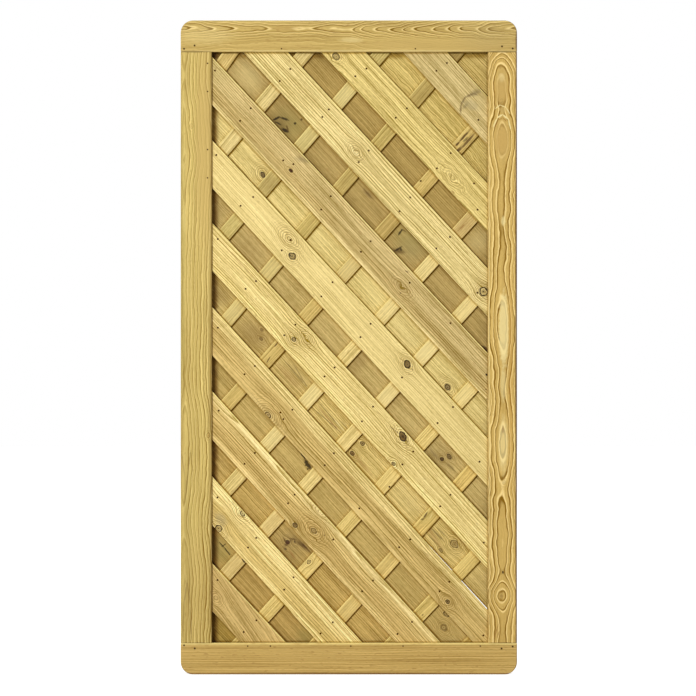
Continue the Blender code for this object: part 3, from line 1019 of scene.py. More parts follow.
class PineSurface:
    """The material of one timber in the making."""

    LATE_DEPTH = 0.5
    EARLY_LIFT = 0.5
    RING_VARIETY = 0.06
    CREAM_SHARE = 0.3
    BAND_SWING = 6
    BAND_SEED_STEP = 1.7
    CALM_SEED = 31.0
    PAINTED_SHADE_PATCHES = (0.05, 0.45)
    FRONT_DEPTH = 2.0 * MILLIMETRE
    ROUGHNESS = 0.62
    FIBRE_ROUGHNESS = 0.22
    LATE_ROUGHNESS = -0.10
    KNOT_ROUGHNESS = -0.18
    SPECULAR = 0.12
    LATE_PROUD = 0.5
    RELIEF_STRENGTH = 0.35
    RELIEF = 0.6 * MILLIMETRE

    def __init__(self, shaders: TimberShaders, sheet: Sheet, lie: Lie, pine: Pine, seed: float) -> None:
        """Starts with the coordinates of the timber and of its grain, which may be turned against it.

        Args:
            shaders: The timbers' shader groups.
            sheet: The material's sheet.
            lie: How the timber lies.
            pine: Its finish.
            seed: A number that makes its noise its own.
        """
        self.shaders, self.sheet, self.lie, self.pine, self.seed = shaders, sheet, lie, pine, seed
        self.straight = self._coordinates(lie)
        self.grain_lie = replace(lie, slope=lie.slope + math.radians(pine.turn))
        self.grain = self._coordinates(self.grain_lie) if pine.turn else self.straight

    def build(self, crossed_by: tuple[Crossing, ...]) -> None:
        """Lays out the whole material.

        Args:
            crossed_by: The strips that lie on the timber.
        """
        sheet, pine, lie, seed = self.sheet, self.pine, self.lie, self.seed
        flowing, core, rim, knot_lines, stir = self._knots()
        wobble = sheet.group(
            self.shaders.wobble, Coordinates=flowing, Waver=pine.waver * MILLIMETRE,
            Curl=pine.curl * MILLIMETRE, Stir=stir, Seed=seed,
        )
        flowing = wobble["Coordinates"]
        rings = sheet.group(
            self.shaders.rings, Coordinates=flowing, Rise=self._swells(), Seed=seed,
            Pith_Across=pine.pith * lie.half_width,
            Pith_Depth=pine.depth * MILLIMETRE - lie.face + lie.middle.y, Spacing=pine.rings * MILLIMETRE,
            Sway=pine.sway * MILLIMETRE, Ripple=pine.ripple * MILLIMETRE, Ripple_Rate=pine.ripple_rate,
            Late_From=pine.late_from,
        )
        fibres = sheet.group(
            self.shaders.fibre, Coordinates=flowing, Seed=seed, Fine=pine.fine, Streak=pine.streak,
            Mottle=pine.mottle, Grit=pine.grit, Run=pine.run,
        )
        late, early = rings["Late"], rings["Early"]
        if pine.calm:
            hidden = self._band_mask(flowing, pine.calm, seed + self.CALM_SEED)
            kept = sheet.line(hidden, -pine.calm.strength, 1.0)
            late, early = sheet.times(late, kept), sheet.times(early, kept)
        colour = self._bands(flowing)
        tone = sheet.line(late, -self.LATE_DEPTH * pine.contrast, fibres["Shade"])
        tone = sheet.line(early, self.EARLY_LIFT * pine.pale, tone)
        tone = sheet.line(rings["Ring Tone"], self.RING_VARIETY * pine.contrast, tone)
        share = sheet.mix(tone, (*pine.late, 1.0), (*PALE_SHARE, 1.0))
        colour = sheet.mix(1.0, colour, share, Blend.DARKEN)
        colour = sheet.tint(sheet.times(early, self.CREAM_SHARE * pine.pale), colour, CREAM_LINE)
        colour = sheet.tint(sheet.times(fibres["Flecks"], pine.flecks), colour, FLECK_TONE)
        if pine.knots:
            colour = sheet.tint(knot_lines, colour, KNOT_RING)
            colour = sheet.tint(core, colour, pine.knots[0].stain.value)
            colour = sheet.tint(rim, colour, KNOT_HEART)
        colour = self._paint_shade_and_shadow(self._paint_edge_and_side_light(self._marks(colour)), crossed_by)
        self._shade(colour, fibres["Lines"], late, core)

    def _coordinates(self, lie: Lie) -> Socket:
        """Makes coordinates in metres along, into and across a timber.

        Args:
            lie: How it lies.

        Returns:
            The coordinates.
        """
        place = self.sheet.node("ShaderNodeTexCoord").outputs["Object"]
        inputs = {"Vector": place, "Location": lie.middle, "Rotation": (0.0, lie.slope, 0.0)}
        return self.sheet.node("ShaderNodeMapping", inputs, vector_type="TEXTURE").outputs[0]

    def _knots(self) -> tuple[Socket, object, object, object, object]:
        """Places the knots, each of which bends the grain for those after it.

        Returns:
            The bent coordinates, and the masks of the cores, the rims, the rings and the stirred grain.
        """
        flowing: Socket = self.grain
        core: object = 0.0
        rim: object = 0.0
        lines: object = 0.0
        stir: object = 0.0
        for knot in self.pine.knots:
            along, across = self.grain_lie.local(knot.at)
            placed = self.sheet.group(
                self.shaders.knot, Coordinates=flowing, Along=along, Across=across,
                Radius=knot.radius * MILLIMETRE, Stretch=knot.stretch, Flow=knot.flow, Reach=knot.reach,
                Slant=knot.turn, Core_Before=core, Rim_Before=rim, Rings_Before=lines, Stir_Before=stir,
                Rings_Share=knot.rings, Core_Share=knot.dark * knot.fill, Rim_Share=knot.dark,
            )
            flowing, core, rim = placed["Coordinates"], placed["Core"], placed["Rim"]
            lines, stir = placed["Rings"], placed["Stir"]
        return flowing, core, rim, lines, stir

    def _swells(self) -> object:
        """Adds up how far the growth rings rise along the timber.

        Returns:
            The rise in metres.
        """
        rise: object = 0.0
        for swell in self.pine.swells:
            placed = self.sheet.group(
                self.shaders.swell, Coordinates=self.grain, Along=self.grain_lie.local(swell.at)[0],
                Height=swell.rise * MILLIMETRE, Length=swell.length * MILLIMETRE, Rise_Before=rise,
            )
            rise = placed["Rise"]
        return rise

    def _band_mask(self, flowing: Socket, band: Band, seed: float) -> Socket:
        """Places one band.

        Args:
            flowing: The bent coordinates.
            band: The band.
            seed: What moves its sides.

        Returns:
            Its mask.
        """
        half = self.lie.half_width
        placed = self.sheet.group(
            self.shaders.band, Coordinates=flowing, Low=band.low * half, High=band.high * half,
            Soft=band.soft * half, Wave=band.wave * half * self.BAND_SWING, Seed=seed,
        )
        return placed["Mask"]

    def _bands(self, flowing: Socket) -> object:
        """Lays the strips of other tones over the main tone.

        Args:
            flowing: The bent coordinates.

        Returns:
            The colour.
        """
        colour: object = linear(self.pine.tone)
        for index, band in enumerate(self.pine.bands):
            mask = self._band_mask(flowing, band, self.seed + self.BAND_SEED_STEP * index)
            colour = self.sheet.tint(self.sheet.times(mask, band.strength), colour, band.tone)
        return colour

    def _marks(self, colour: Socket) -> Socket:
        """Lays the stains, scratches and dots over the colour.

        Args:
            colour: The colour so far.

        Returns:
            The colour with the marks on it.
        """
        for mark in self.pine.marks:
            along, across = self.grain_lie.local(mark.at)
            turn = 0.0 if mark.heading is None else self.grain_lie.heading(mark.heading)
            placed = self.sheet.group(
                self.shaders.mark, Coordinates=self.grain, Along=along, Across=across, Cosine=math.cos(turn),
                Sine=math.sin(turn), Half_Length=mark.length * MILLIMETRE / 2,
                Half_Width=mark.width * MILLIMETRE / 2, Soft=mark.soft, Ragged=mark.ragged,
            )
            share = self.sheet.times(placed["Mask"], mark.strength)
            colour = self.sheet.tint(share, colour, mark.stain.value)
        return colour

    def _paint_edge_and_side_light(self, colour: Socket) -> Socket:
        """Paints a highlight on the upper edge and shade on the lower one and on the sides that turn right or
        down.

        Args:
            colour: The colour so far.

        Returns:
            The colour with painted highlight and shade.
        """
        sheet, pine, lie = self.sheet, self.pine, self.lie
        edges = sheet.group(
            self.shaders.edges, Coordinates=self.straight, Half_Width=lie.half_width,
            Wear_Width=pine.edge * MILLIMETRE, Seed=self.seed,
        )
        # Painted highlight on the upper edge and painted shade on the lower edge, in worn-looking patches.
        colour = sheet.tint(sheet.times(edges["Upper"], pine.upper), colour, PAINTED_EDGE_HIGHLIGHT)
        colour = sheet.tint(sheet.times(edges["Lower"], pine.lower), colour, PAINTED_EDGE_SHADE)
        # Painted shade on the sides that turn right or down, away from the key lamp.
        if pine.painted_side_shade:
            painted_side_shade = sheet.group(
                self.shaders.painted_side_shade, Coordinates=self.straight, Right=pine.painted_side_shade, Under=pine.painted_under_shade,
                Face=lie.face - lie.middle.y,
            )
            colour = sheet.tint(painted_side_shade["Mask"], colour, PAINTED_SIDE_SHADE_TONE)
        return colour

    def _paint_shade_and_shadow(self, colour: Socket, crossed_by: tuple[Crossing, ...]) -> Socket:
        """Darkens the front face beside the strips that lie on it with painted shade and painted shadow.

        Args:
            colour: The colour so far.
            crossed_by: The strips that lie on it.

        Returns:
            The colour with painted shade.
        """
        # Painted contact shade first, then the painted shadow beside the left stile.
        for shade, tone in ((False, PAINTED_CONTACT_SHADE), (True, CORNER_SHADE)):
            sources = tuple(crossing for crossing in crossed_by if crossing.painted_shade.shade == shade)
            if sources:
                colour = self.sheet.tint(self._painted_shade_mask(sources), colour, tone, Blend.DARKEN)
        return colour

    def _painted_shade_mask(self, sources: tuple[Crossing, ...]) -> Socket:
        """Gathers the painted shade of one tone.

        Args:
            sources: The strips that it lies beside.

        Returns:
            The painted shade's mask.
        """
        sheet = self.sheet
        mask: object = 0.0
        for crossing in sources:
            lie, painted_shade = crossing.lie, crossing.painted_shade
            placed = sheet.group(
                self.shaders.painted_shade_beside, Coordinates=self._coordinates(lie), Half_Width=lie.half_width,
                Reach=painted_shade.reach * MILLIMETRE, Above=painted_shade.above, Below=painted_shade.below, Before=mask,
            )
            mask = placed["Mask"]
        front = sheet.smooth(sheet.split(self.straight)[1], 0.0, -self.FRONT_DEPTH)
        patchy = sheet.noise(self.straight, Pattern.PAINTED_SHADE_NOISE)
        return sheet.times(mask, sheet.times(front, sheet.smooth(patchy, *self.PAINTED_SHADE_PATCHES)))

    def _shade(self, colour: Socket, lines: Socket, late: Socket, core: object) -> None:
        """Joins the colour, the roughness and the relief to the shader.

        Args:
            colour: The colour.
            lines: The fine fibres.
            late: The late wood, which stands proud and is denser.
            core: The knots' cores, which are smoother.
        """
        sheet = self.sheet
        rough = sheet.line(lines, self.FIBRE_ROUGHNESS, self.ROUGHNESS)
        rough = sheet.line(late, self.LATE_ROUGHNESS, rough)
        rough = sheet.line(core, self.KNOT_ROUGHNESS, rough)
        normal = sheet.bump(sheet.line(late, self.LATE_PROUD, lines), self.RELIEF_STRENGTH, self.RELIEF)
        inputs = {"Base Color": colour, "Roughness": rough, "Normal": normal}
        shader = sheet.node("ShaderNodeBsdfPrincipled", inputs)
        shader.inputs["Specular IOR Level"].default_value = self.SPECULAR
        sheet.node("ShaderNodeOutputMaterial", {0: shader.outputs[0]})


class Joiner:
    """Dresses timbers in pine."""

    def __init__(self, shaders: TimberShaders) -> None:
        """Keeps the timbers' shader groups."""
        self.shaders = shaders

    def dress(
        self,
        timber: bpy.types.Object,
        lie: Lie,
        pine: Pine,
        seed: float,
        crossed_by: tuple[Crossing, ...] = (),
    ) -> None:
        """Gives a timber its own pine.

        Args:
            timber: The node's object.
            lie: How the timber lies.
            pine: Its finish.
            seed: A number that makes its noise its own.
            crossed_by: The strips that lie on it.
        """
        finish = bpy.data.materials.new(f"{timber.name}_pine")
        PineSurface(self.shaders, Sheet.of(finish), lie, pine, seed).build(crossed_by)
        for slot in timber.material_slots:
            slot.material = finish


FRAME_LATE: Colour = (0.40, 0.30, 0.03)

FRAME_PINES: dict[str, Pine] = {
    "top_rail": Pine(
        tone=(191, 162, 86), painted_side_shade=0.85, contrast=1.6, pale=0.7, late_from=0.7, late=FRAME_LATE, rings=5.6,
        pith=0.46, depth=8, sway=2, ripple=2, ripple_rate=14, waver=3.6, fine=0.24, streak=0.2, grit=0.05,
        run=0.35, calm=Band(-1.4, -0.05, (202, 172, 102), 0.75, 0.16, 0.02), upper=0.35, lower=0, edge=6,
        swells=(
            Swell((285, 28), 42, 330), Swell((545, 28), -32, 260), Swell((352, 28), 5, 40),
        ),
        marks=(
            Mark((440, 45), 420, 34, TAN, 0.65, None, 0.5, 0.15), Mark((205, 36), 150, 50, PALE, 0.18),
            # The pale mark along the lower edge at 50.9 is a painted highlight.
            Mark((286, 28), 80, 14, BROWN, 0.22), Mark((348.7, 50.9), 900, 5, PALE, 0.42, None, 0.5, 0.1),
            Mark((488, 36), 150, 70, GREY, 0.16, None, 1),
            # The dark mark at the right end is painted shade on its rounded edge.
            Mark((517, 42), 60, 9, DARK_BARK, 0.65, 90, 0.6, 0.2), Mark((280, 46), 300, 14, TAN, 0.35),
            # The SHADE mark at the inner corner by the left stile is painted shade.
            Mark((351, 40), 60, 14, PALE, 0.35), Mark((216, 56), 24, 20, SHADE, 0.25),
        ),
    ),
    "bottom_rail": Pine(
        tone=(196, 163, 87), painted_side_shade=0.85, painted_under_shade=0.85, contrast=0.5, pale=0.25, late_from=0.68, late=FRAME_LATE,
        rings=6, pith=3, depth=20, sway=3, ripple=0.8, waver=0.6, fine=0.24, streak=0.26, mottle=0.14,
        grit=0.05, run=0.25, upper=0.75, lower=0.75, edge=7, flecks=0.4,
        # The dark mark along the lower edge is painted shade on the rounded edge that faces down.
        marks=(Mark((348.7, 674.6), 950, 11, DARK_BARK, 0.55, None, 0.5, 0.2),),
    ),
    "left_stile": Pine(
        tone=(198, 172, 92), painted_side_shade=0.35, contrast=1.15, pale=0.4, late=FRAME_LATE, rings=9, pith=-0.75,
        depth=6, sway=4, ripple=2, ripple_rate=4, waver=3, fine=0.22,
        calm=Band(-1.4, -0.55, (198, 172, 92), 0.5, 0.16, 0.05), streak=0.3, mottle=0.24, grit=0.05, run=0.4,
        upper=0.1, lower=0.1, edge=7,
        swells=(
            Swell((185, 459), -8, 120), Swell((185, 583), -9, 110), Swell((185, 300), 6, 200),
            Swell((188, 75), 9, 60), Swell((188, 160), -8, 70), Swell((185, 385), 7, 60),
            Swell((185, 520), 6, 60),
        ),
        knots=(
            Knot((208.3, 435.4), 4, 0.35, 1.4, 0.8, 2.4, 0.5, 0, 0.8, RESIN),
            Knot((191.5, 126), 3.5, 0.25, 1.6, 0.7, 2.6, 0.3, 0, 0.8, RESIN),
        ),
        marks=(
            stroke((180, 51.8), (212, 51.8), 3.2, BARK, 0.8), stroke((180, 643), (212, 643), 3, BARK, 0.7),
            # The SHADE mark along the inner edge is painted shade on the rounded edge that faces right.
            Mark((182.5, 250), 900, 14, GREEN, 0.25), Mark((210, 350), 1700, 10, SHADE, 0.22),
            Mark((204, 150), 560, 44, TAN, 0.72, None, 0.7, 0.2),
            Mark((187, 555), 520, 34, GREEN, 0.1, None, 0.8, 0.2),
            stroke((181.5, 452), (184.5, 476), 4, HEART, 0.42, 0.6),
            stroke((191, 450), (188, 470), 4, HEART, 0.42, 0.6),
            stroke((188, 470), (185.2, 500), 4, HEART, 0.38, 0.6),
            stroke((187, 581), (184, 605), 4, HEART, 0.42, 0.6),
            stroke((184, 605), (182.5, 638), 4, HEART, 0.38, 0.6),
            stroke((187, 581), (190.5, 606), 4, HEART, 0.42, 0.6),
            stroke((190.5, 606), (191.5, 638), 4, HEART, 0.38, 0.6),
            stroke((187.2, 592), (187.2, 632), 3, TAN, 0.55, 0.6), Mark((196, 590), 330, 80, BROWN, 0.14),
        ),
    ),
    "right_stile": Pine(
        tone=(201, 167, 86), painted_side_shade=0.95, contrast=1.7, pale=0.95, late_from=0.7, late=FRAME_LATE, rings=9.4,
        pith=-0.02, depth=13.6, sway=3, ripple=1.2, ripple_rate=7, waver=5, curl=1.5, fine=0.12, streak=0.15,
        mottle=0.25, grit=0.05, run=0.4, upper=0, lower=0.2, edge=7,
        swells=(
            Swell((502, 40), 40, 60), Swell((502, 109), 3, 24), Swell((502, 140), -12.5, 50),
            Swell((502, 325), -12, 84), Swell((502, 443), -10, 62), Swell((502, 488), 6, 34),
            Swell((502, 545), -6, 60), Swell((502, 574), 4, 24), Swell((502, 596), -18, 38),
            Swell((502, 650), -4, 40),
        ),
        knots=(
            Knot((502.9, 572.2), 2.4, 0.95, 1.4, 0.7, 2.4, 0.3, 0, 1),
            Knot((501.4, 595.7), 2.6, 0.4, 2, 0.9, 3, 0.7), Knot((504, 482.4), 3, 0.3, 1.4, 0.7),
            Knot((501, 101), 4.5, 0.35, 1.2, 0.7, 2.6, 0.5, 0.3, 0.1),
        ),
        marks=(
            stroke((487, 51.8), (518, 51.8), 3.6, BARK, 0.9), stroke((487, 643), (518, 643), 3, BARK, 0.7),
            Mark((503.7, 330), 200, 26, PALE, 0.7, None, 0.3),
            Mark((503.2, 384), 95, 15, PALE, 0.45, None, 0.5),
            Mark((503.4, 445), 150, 25, PALE, 0.5, None, 0.5), Mark((503, 429), 22, 5, BROWN, 0.5),
            Mark((501.8, 87), 92, 34, TAN, 0.85), Mark((501.8, 78), 24, 14, PALE, 0.35),
            Mark((502, 141), 104, 40, TAN, 0.88), Mark((502.5, 110), 18, 18, TAN, 0.8),
            stroke((493, 127), (497, 118), 4, PALE, 0.85, 0.4),
            stroke((497, 118), (502.5, 114.6), 5, PALE, 0.9, 0.4),
            stroke((502.5, 114.6), (508, 119), 5, PALE, 0.9, 0.4),
            stroke((508, 119), (511, 130), 4, PALE, 0.85, 0.4),
            stroke((494.5, 128), (498, 120.5), 3, BROWN, 0.7),
            stroke((498, 120.5), (502.5, 117.6), 3, BROWN, 0.7),
            stroke((502.5, 117.6), (506.8, 121.5), 3, BROWN, 0.7),
            stroke((495, 109), (500, 105), 3.4, PALE, 0.75, 0.4),
            stroke((500, 105), (506, 107.5), 3.4, PALE, 0.75, 0.4),
            stroke((506, 107.5), (510, 114), 3.4, PALE, 0.7, 0.4), Mark((502, 140), 90, 40, RESIN, 0.25),
            Mark((502, 90), 70, 50, RESIN, 0.2), Mark((503.4, 221), 26, 12, PALE),
            # The dark mark along the outer edge is painted shade on the rounded edge that faces right.
            Mark((517, 350), 1900, 11, DARK_BARK, 0.62, None, 0.5, 0.2),
            # The pale mark along the inner edge at 489.2 is a painted highlight.
            Mark((510.5, 380), 700, 12, RESIN, 0.3), Mark((489.2, 350), 1700, 3, PALE),
            stroke((493.5, 640), (498.5, 624), 3.4, BROWN), stroke((497, 638), (500, 630), 3, BROWN, 0.5),
        ),
    ),
}

# The front boards, from the top right.
FRONT_BOARD_PINES: tuple[Pine, ...] = (
    Pine(
        tone=(204, 179, 112), contrast=0.65, rings=4.6,
        marks=(
            stroke((460.4, 114.5), (461.2, 102), 5.5, BARK, 0.65, 0.9),
            stroke((461, 104.5), (466, 96), 5.5, BARK, 0.65, 0.9),
            stroke((465, 97.4), (474, 93.4), 6, BARK, 0.6, 0.9),
            stroke((468, 96), (482, 90), 15, SOOT, 0.6, 1),
            stroke((472, 93), (479, 95.5), 4.5, BARK, 0.45, 0.9),
            stroke((462.5, 109), (468, 103), 8, SOOT, 0.45, 1), Mark((471, 105), 50, 26, GREY, 0.35, 20),
            Mark(slat(-20, 256), 160, 60, GREY, 0.18),
        ),
    ),
    Pine(
        tone=(218, 192, 111), contrast=1.2, rings=4.8, pith=-1.4, depth=30, curl=6,
        knots=(
            Knot((336, 56.5), 8, 0.8, 1.2, 0.9, 2.4, 0.9), Knot((452, 177), 5, 0.1, 2.2, 0.95, 4.4),
        ),
        marks=(Mark((453, 192), 12, 5, BROWN),),
    ),
    Pine(
        tone=(223, 198, 123), contrast=1.8, pale=0.34, late_from=0.7, rings=6.2, depth=18, ripple=0.8,
        knots=(
            Knot((483.6, 291.5), 11, 0.95, 1, 0.95, 2.6, 1, 0, 0.15),
            Knot((356, 152), 6, 0.15, 1.4, 0.9, 3.4, 1, 0, 0.1),
        ),
    ),
    Pine(
        tone=(202, 175, 108), contrast=1.4, rings=5.2, pith=-1.5,
        bands=(
            Band(-0.78, -0.15, (186, 157, 88), 0.6, 0.12, 0.04),
            Band(-1.2, -0.8, (231, 205, 131), 0.7, 0.06, 0.02),
        ),
        knots=(
            Knot((291, 170.5), 3.6, 1, 1.5, 0.85, 3.2, 0.7, 0, 1, DARK_BARK),
            Knot((402, 287), 5, 0, 2, 0.9, 3.6, 0.9, 0, 0.1),
        ),
        marks=(
            Mark((305, 160), 52, 16, SOOT, 0.5, 10, 0.9), Mark((215, 66), 110, 80, GREEN, 0.22),
            Mark((361, 252), 8, 4, BROWN, 0.7), stroke((405.2, 270.6), (408.7, 272.7), 3.5, BARK, 0.9),
            Mark((400.6, 293.1), 5, 4, BARK, 0.8), Mark((486.6, 374.7), 7, 6, HOLE, 0.95, None, 0.3),
            Mark((485.9, 389.5), 4.5, 3.5, BARK, 0.8), Mark((486.9, 399), 4.5, 3.5, BARK, 0.8),
            Mark((481, 375.8), 9, 2.5, BROWN, 0.6, 30),
        ),
    ),
    Pine(
        tone=(231, 205, 127), contrast=0.55, fine=0.24, grit=0.08, rings=5, mottle=0.1,
        knots=(
            Knot((292.3, 256.1), 8, 0.95, 1.2, 0.9, 2.6, 0.8, 0, 0.5),
            Knot((289.5, 239), 5, 0.1, 1.6, 0.95, 4.6, 1, 0, 0.1),
            Knot((407.3, 364.2), 8.4, 0.95, 1.2, 0.95, 2.8, 0.9, 0.2, 0.9),
        ),
        marks=(
            stroke((289.4, 254), (291.6, 257), 3, HOLE, 0.8),
            stroke((400, 358), (405, 362.5), 3, BROWN, 0.5), Mark((412.2, 366.7), 3.5, 3, BARK, 0.7),
            Mark((412.6, 369.5), 3.5, 3, BARK, 0.7),
        ),
    ),
    Pine(
        tone=(232, 205, 126), contrast=1.8, fine=0.32, late_from=0.7, rings=5.2, depth=24, pith=1.15, sway=6,
        ripple=1.8,
        bands=(Band(-1.2, -0.62, (237, 210, 127), 0.6),),
        knots=(
            Knot((293.9, 339.4), 5.5, 0.95, 1.1, 0.9, 3.8, 0.9, 0, 0.7),
            Knot((306, 338), 5, 0, 1.4, 0.95, 4.2, 1, 0, 0.1),
            Knot((402.7, 436.4), 9, 0.95, 1.4, 0.95, 3, 0.9, 0.3, 0.95),
            Knot((393.6, 463.8), 4.5, 0.8, 1.2, 0.9, 4, 0.9, 0, 0.9),
        ),
        marks=(
            stroke((388, 425), (402, 436), 2.8, BARK, 0.55),
            stroke((216, 236), (262, 287), 3, BROWN, 0.45, 0.8),
            stroke((228, 236), (285, 300), 3.4, BROWN, 0.4, 0.8),
            stroke((403, 437), (408.7, 442.7), 3, BARK, 0.8), Mark((402.7, 436.4), 10, 7, HOLE, 0.6, 60),
        ),
    ),
    Pine(
        tone=(204, 174, 100), contrast=1.5, rings=5.2, depth=26, pith=-0.9, sway=6,
        bands=(
            Band(-0.95, 0.3, (200, 168, 94), 0.6, 0.1, 0.14),
            Band(0.48, 1.2, (230, 203, 126), 0.75, 0.1, 0.16),
        ),
        knots=(
            Knot((268, 414.9), 6, 0.75, 1.6, 0.9, 4.6, 1, 0, 0.6),
            Knot((447.6, 601.7), 5, 0.95, 1.2, 0.95, 5.2, 1, 0, 0.9),
        ),
    ),
    Pine(
        tone=(213, 182, 107), contrast=1.5, rings=5.2, depth=24, pith=0.9, sway=6,
        bands=(
            Band(-0.66, 0.1, (193, 160, 87), 0.75, 0.12, 0.16),
            Band(0.6, 1.2, (238, 211, 136), 0.7, 0.1, 0.05), Band(-1.2, -0.75, (227, 196, 121), 0.6),
        ),
        knots=(
            Knot((295, 525.1), 5.5, 0.9, 1.3, 0.85, 2.4, 0.8, 0, 0.9),
            Knot((313.9, 530.7), 6, 0.6, 1.5, 0.95, 5, 1, 0, 0.8),
            Knot((320, 513), 4, 0.1, 2, 0.9, 4.4, 0.8),
        ),
        marks=(
            Mark((324.3, 535.3), 4, 3.5, BARK, 0.8), Mark((294.6, 494.6), 4, 3, BARK, 0.7),
        ),
    ),
    Pine(
        tone=(232, 203, 123), contrast=1.6, pale=0.28, late_from=0.7, rings=6.4, depth=20, pith=-1.3,
        ripple=1,
        bands=(
            Band(-0.7, 0.02, (204, 173, 93), 0.75, 0.14, 0.16), Band(0.3, 1.2, (240, 212, 134), 0.5),
        ),
        knots=(
            Knot((242.7, 513.5), 6, 0.9, 1.3, 0.9, 3.4, 1, 0, 0.6),
            Knot((218.5, 528.6), 9, 0.85, 1, 0.9, 3, 1, 0, 0.35),
        ),
        marks=(Mark((221, 519), 40, 24, GREY, 0.4),),
    ),
    Pine(
        tone=(199, 167, 96), contrast=0.7, rings=5, depth=30, turn=9,
        knots=(Knot((216, 598), 4, 0.2, 1.4, 0.9, 5, 0.7),),
    ),
)

# The battens, from the top left.
BATTEN_TONES: tuple[Colour, ...] = (
    (214, 184, 108), (216, 191, 118), (198, 175, 99), (193, 167, 90), (202, 172, 94), (223, 196, 118),
    (226, 198, 119), (226, 196, 113), (219, 185, 100), (216, 186, 103), (207, 171, 84),
)
# The SHADE patches are painted shade; the one at 55 down stands for the top rail's shadow.
BATTEN_MARKS: dict[int, tuple[Mark, ...]] = {
    2: (
        patch((268, 183), SHADE, 0.4, 70), patch((306, 139), PALE, 0.22), patch((344, 95), PALE, 0.35),
    ),
    3: (
        patch((421, 92), SHADE, 0.3), patch((456, 55), SHADE, 0.55, 60, 60), patch((345, 181), SHADE, 0.28),
        patch((270, 269), PALE, 0.28), patch((233, 312), PALE, 0.32),
    ),
    4: (
        patch((387, 226), SHADE, 0.28), patch((348, 269), PALE, 0.36),
        stroke((455.5, 146), (459.5, 142), 6, DARK_BARK, 0.9),
        stroke((456, 153), (461, 147), 8, DARK_BARK, 0.8),
        stroke((461, 149), (474, 134), 8, DARK_BARK, 0.75),
        stroke((459, 142), (469, 131), 6, DARK_BARK, 0.85), stroke((463, 142), (468, 137), 5, HOLE),
        stroke((466, 150), (476, 139), 5, DARK_BARK, 0.75, 0.6),
        stroke((274.3, 347), (277.8, 342.8), 3.5, BARK, 0.9), stroke((266, 364), (270, 357), 3.5, BARK, 0.8),
    ),
    5: (
        patch((464, 225), BROWN, 0.45), patch((425, 268), PALE, 0.25), patch((387, 311), PALE, 0.3),
        patch((272, 439), PALE, 0.3), patch((310, 396), PALE, 0.35),
        stroke((458, 231), (465, 224), 4, BROWN, 0.7),
    ),
    6: (
        patch((387, 395), PALE, 0.4), patch((425, 352), PALE, 0.6), patch((464, 309), PALE, 0.3),
        patch((271, 523), BROWN, 0.22), patch((232, 566), BROWN, 0.26),
        Mark((243.8, 560.8), 16, 7, HOLE, 0.85, 60, 0.4),
    ),
    7: (patch((464, 395), PALE, 0.42),),
    8: (
        patch((387, 565), PALE, 0.18), patch((428, 512), GREEN, 0.35, 90, 60), patch((348, 608), PALE, 0.24),
        stroke((420.5, 520), (424.5, 518.5), 5, BARK, 0.75, 0.6),
        stroke((423.5, 518.5), (427.5, 511.5), 5.5, BARK, 0.85),
        stroke((429, 520), (433, 512), 3, PALE, 0.45, 0.6),
    ),
    9: (Mark((422.7, 615), 6, 4, BARK, 0.7),),
}
BATTEN_KNOTS: dict[int, tuple[Knot, ...]] = {
    7: (Knot((309, 561.9), 4.8, 0.85, 1.2, 0.9, 2.6, 0.7),),
}

# The back boards, from the top right.
BACK_BOARD_TONES: tuple[Colour, ...] = (
    (204, 176, 98), (209, 182, 101), (171, 142, 74), (175, 147, 81), (222, 198, 120), (193, 166, 96),
    (214, 186, 107), (192, 163, 90), (196, 163, 87), (183, 150, 78), (170, 139, 60),
)
BACK_BOARD_CONTRASTS = (1.6, 1.2, 0.7, 0.5, 0.8, 0.5, 1.1, 0.5, 1.1, 0.4, 0.8)
WILD_BACK_BOARD = 1
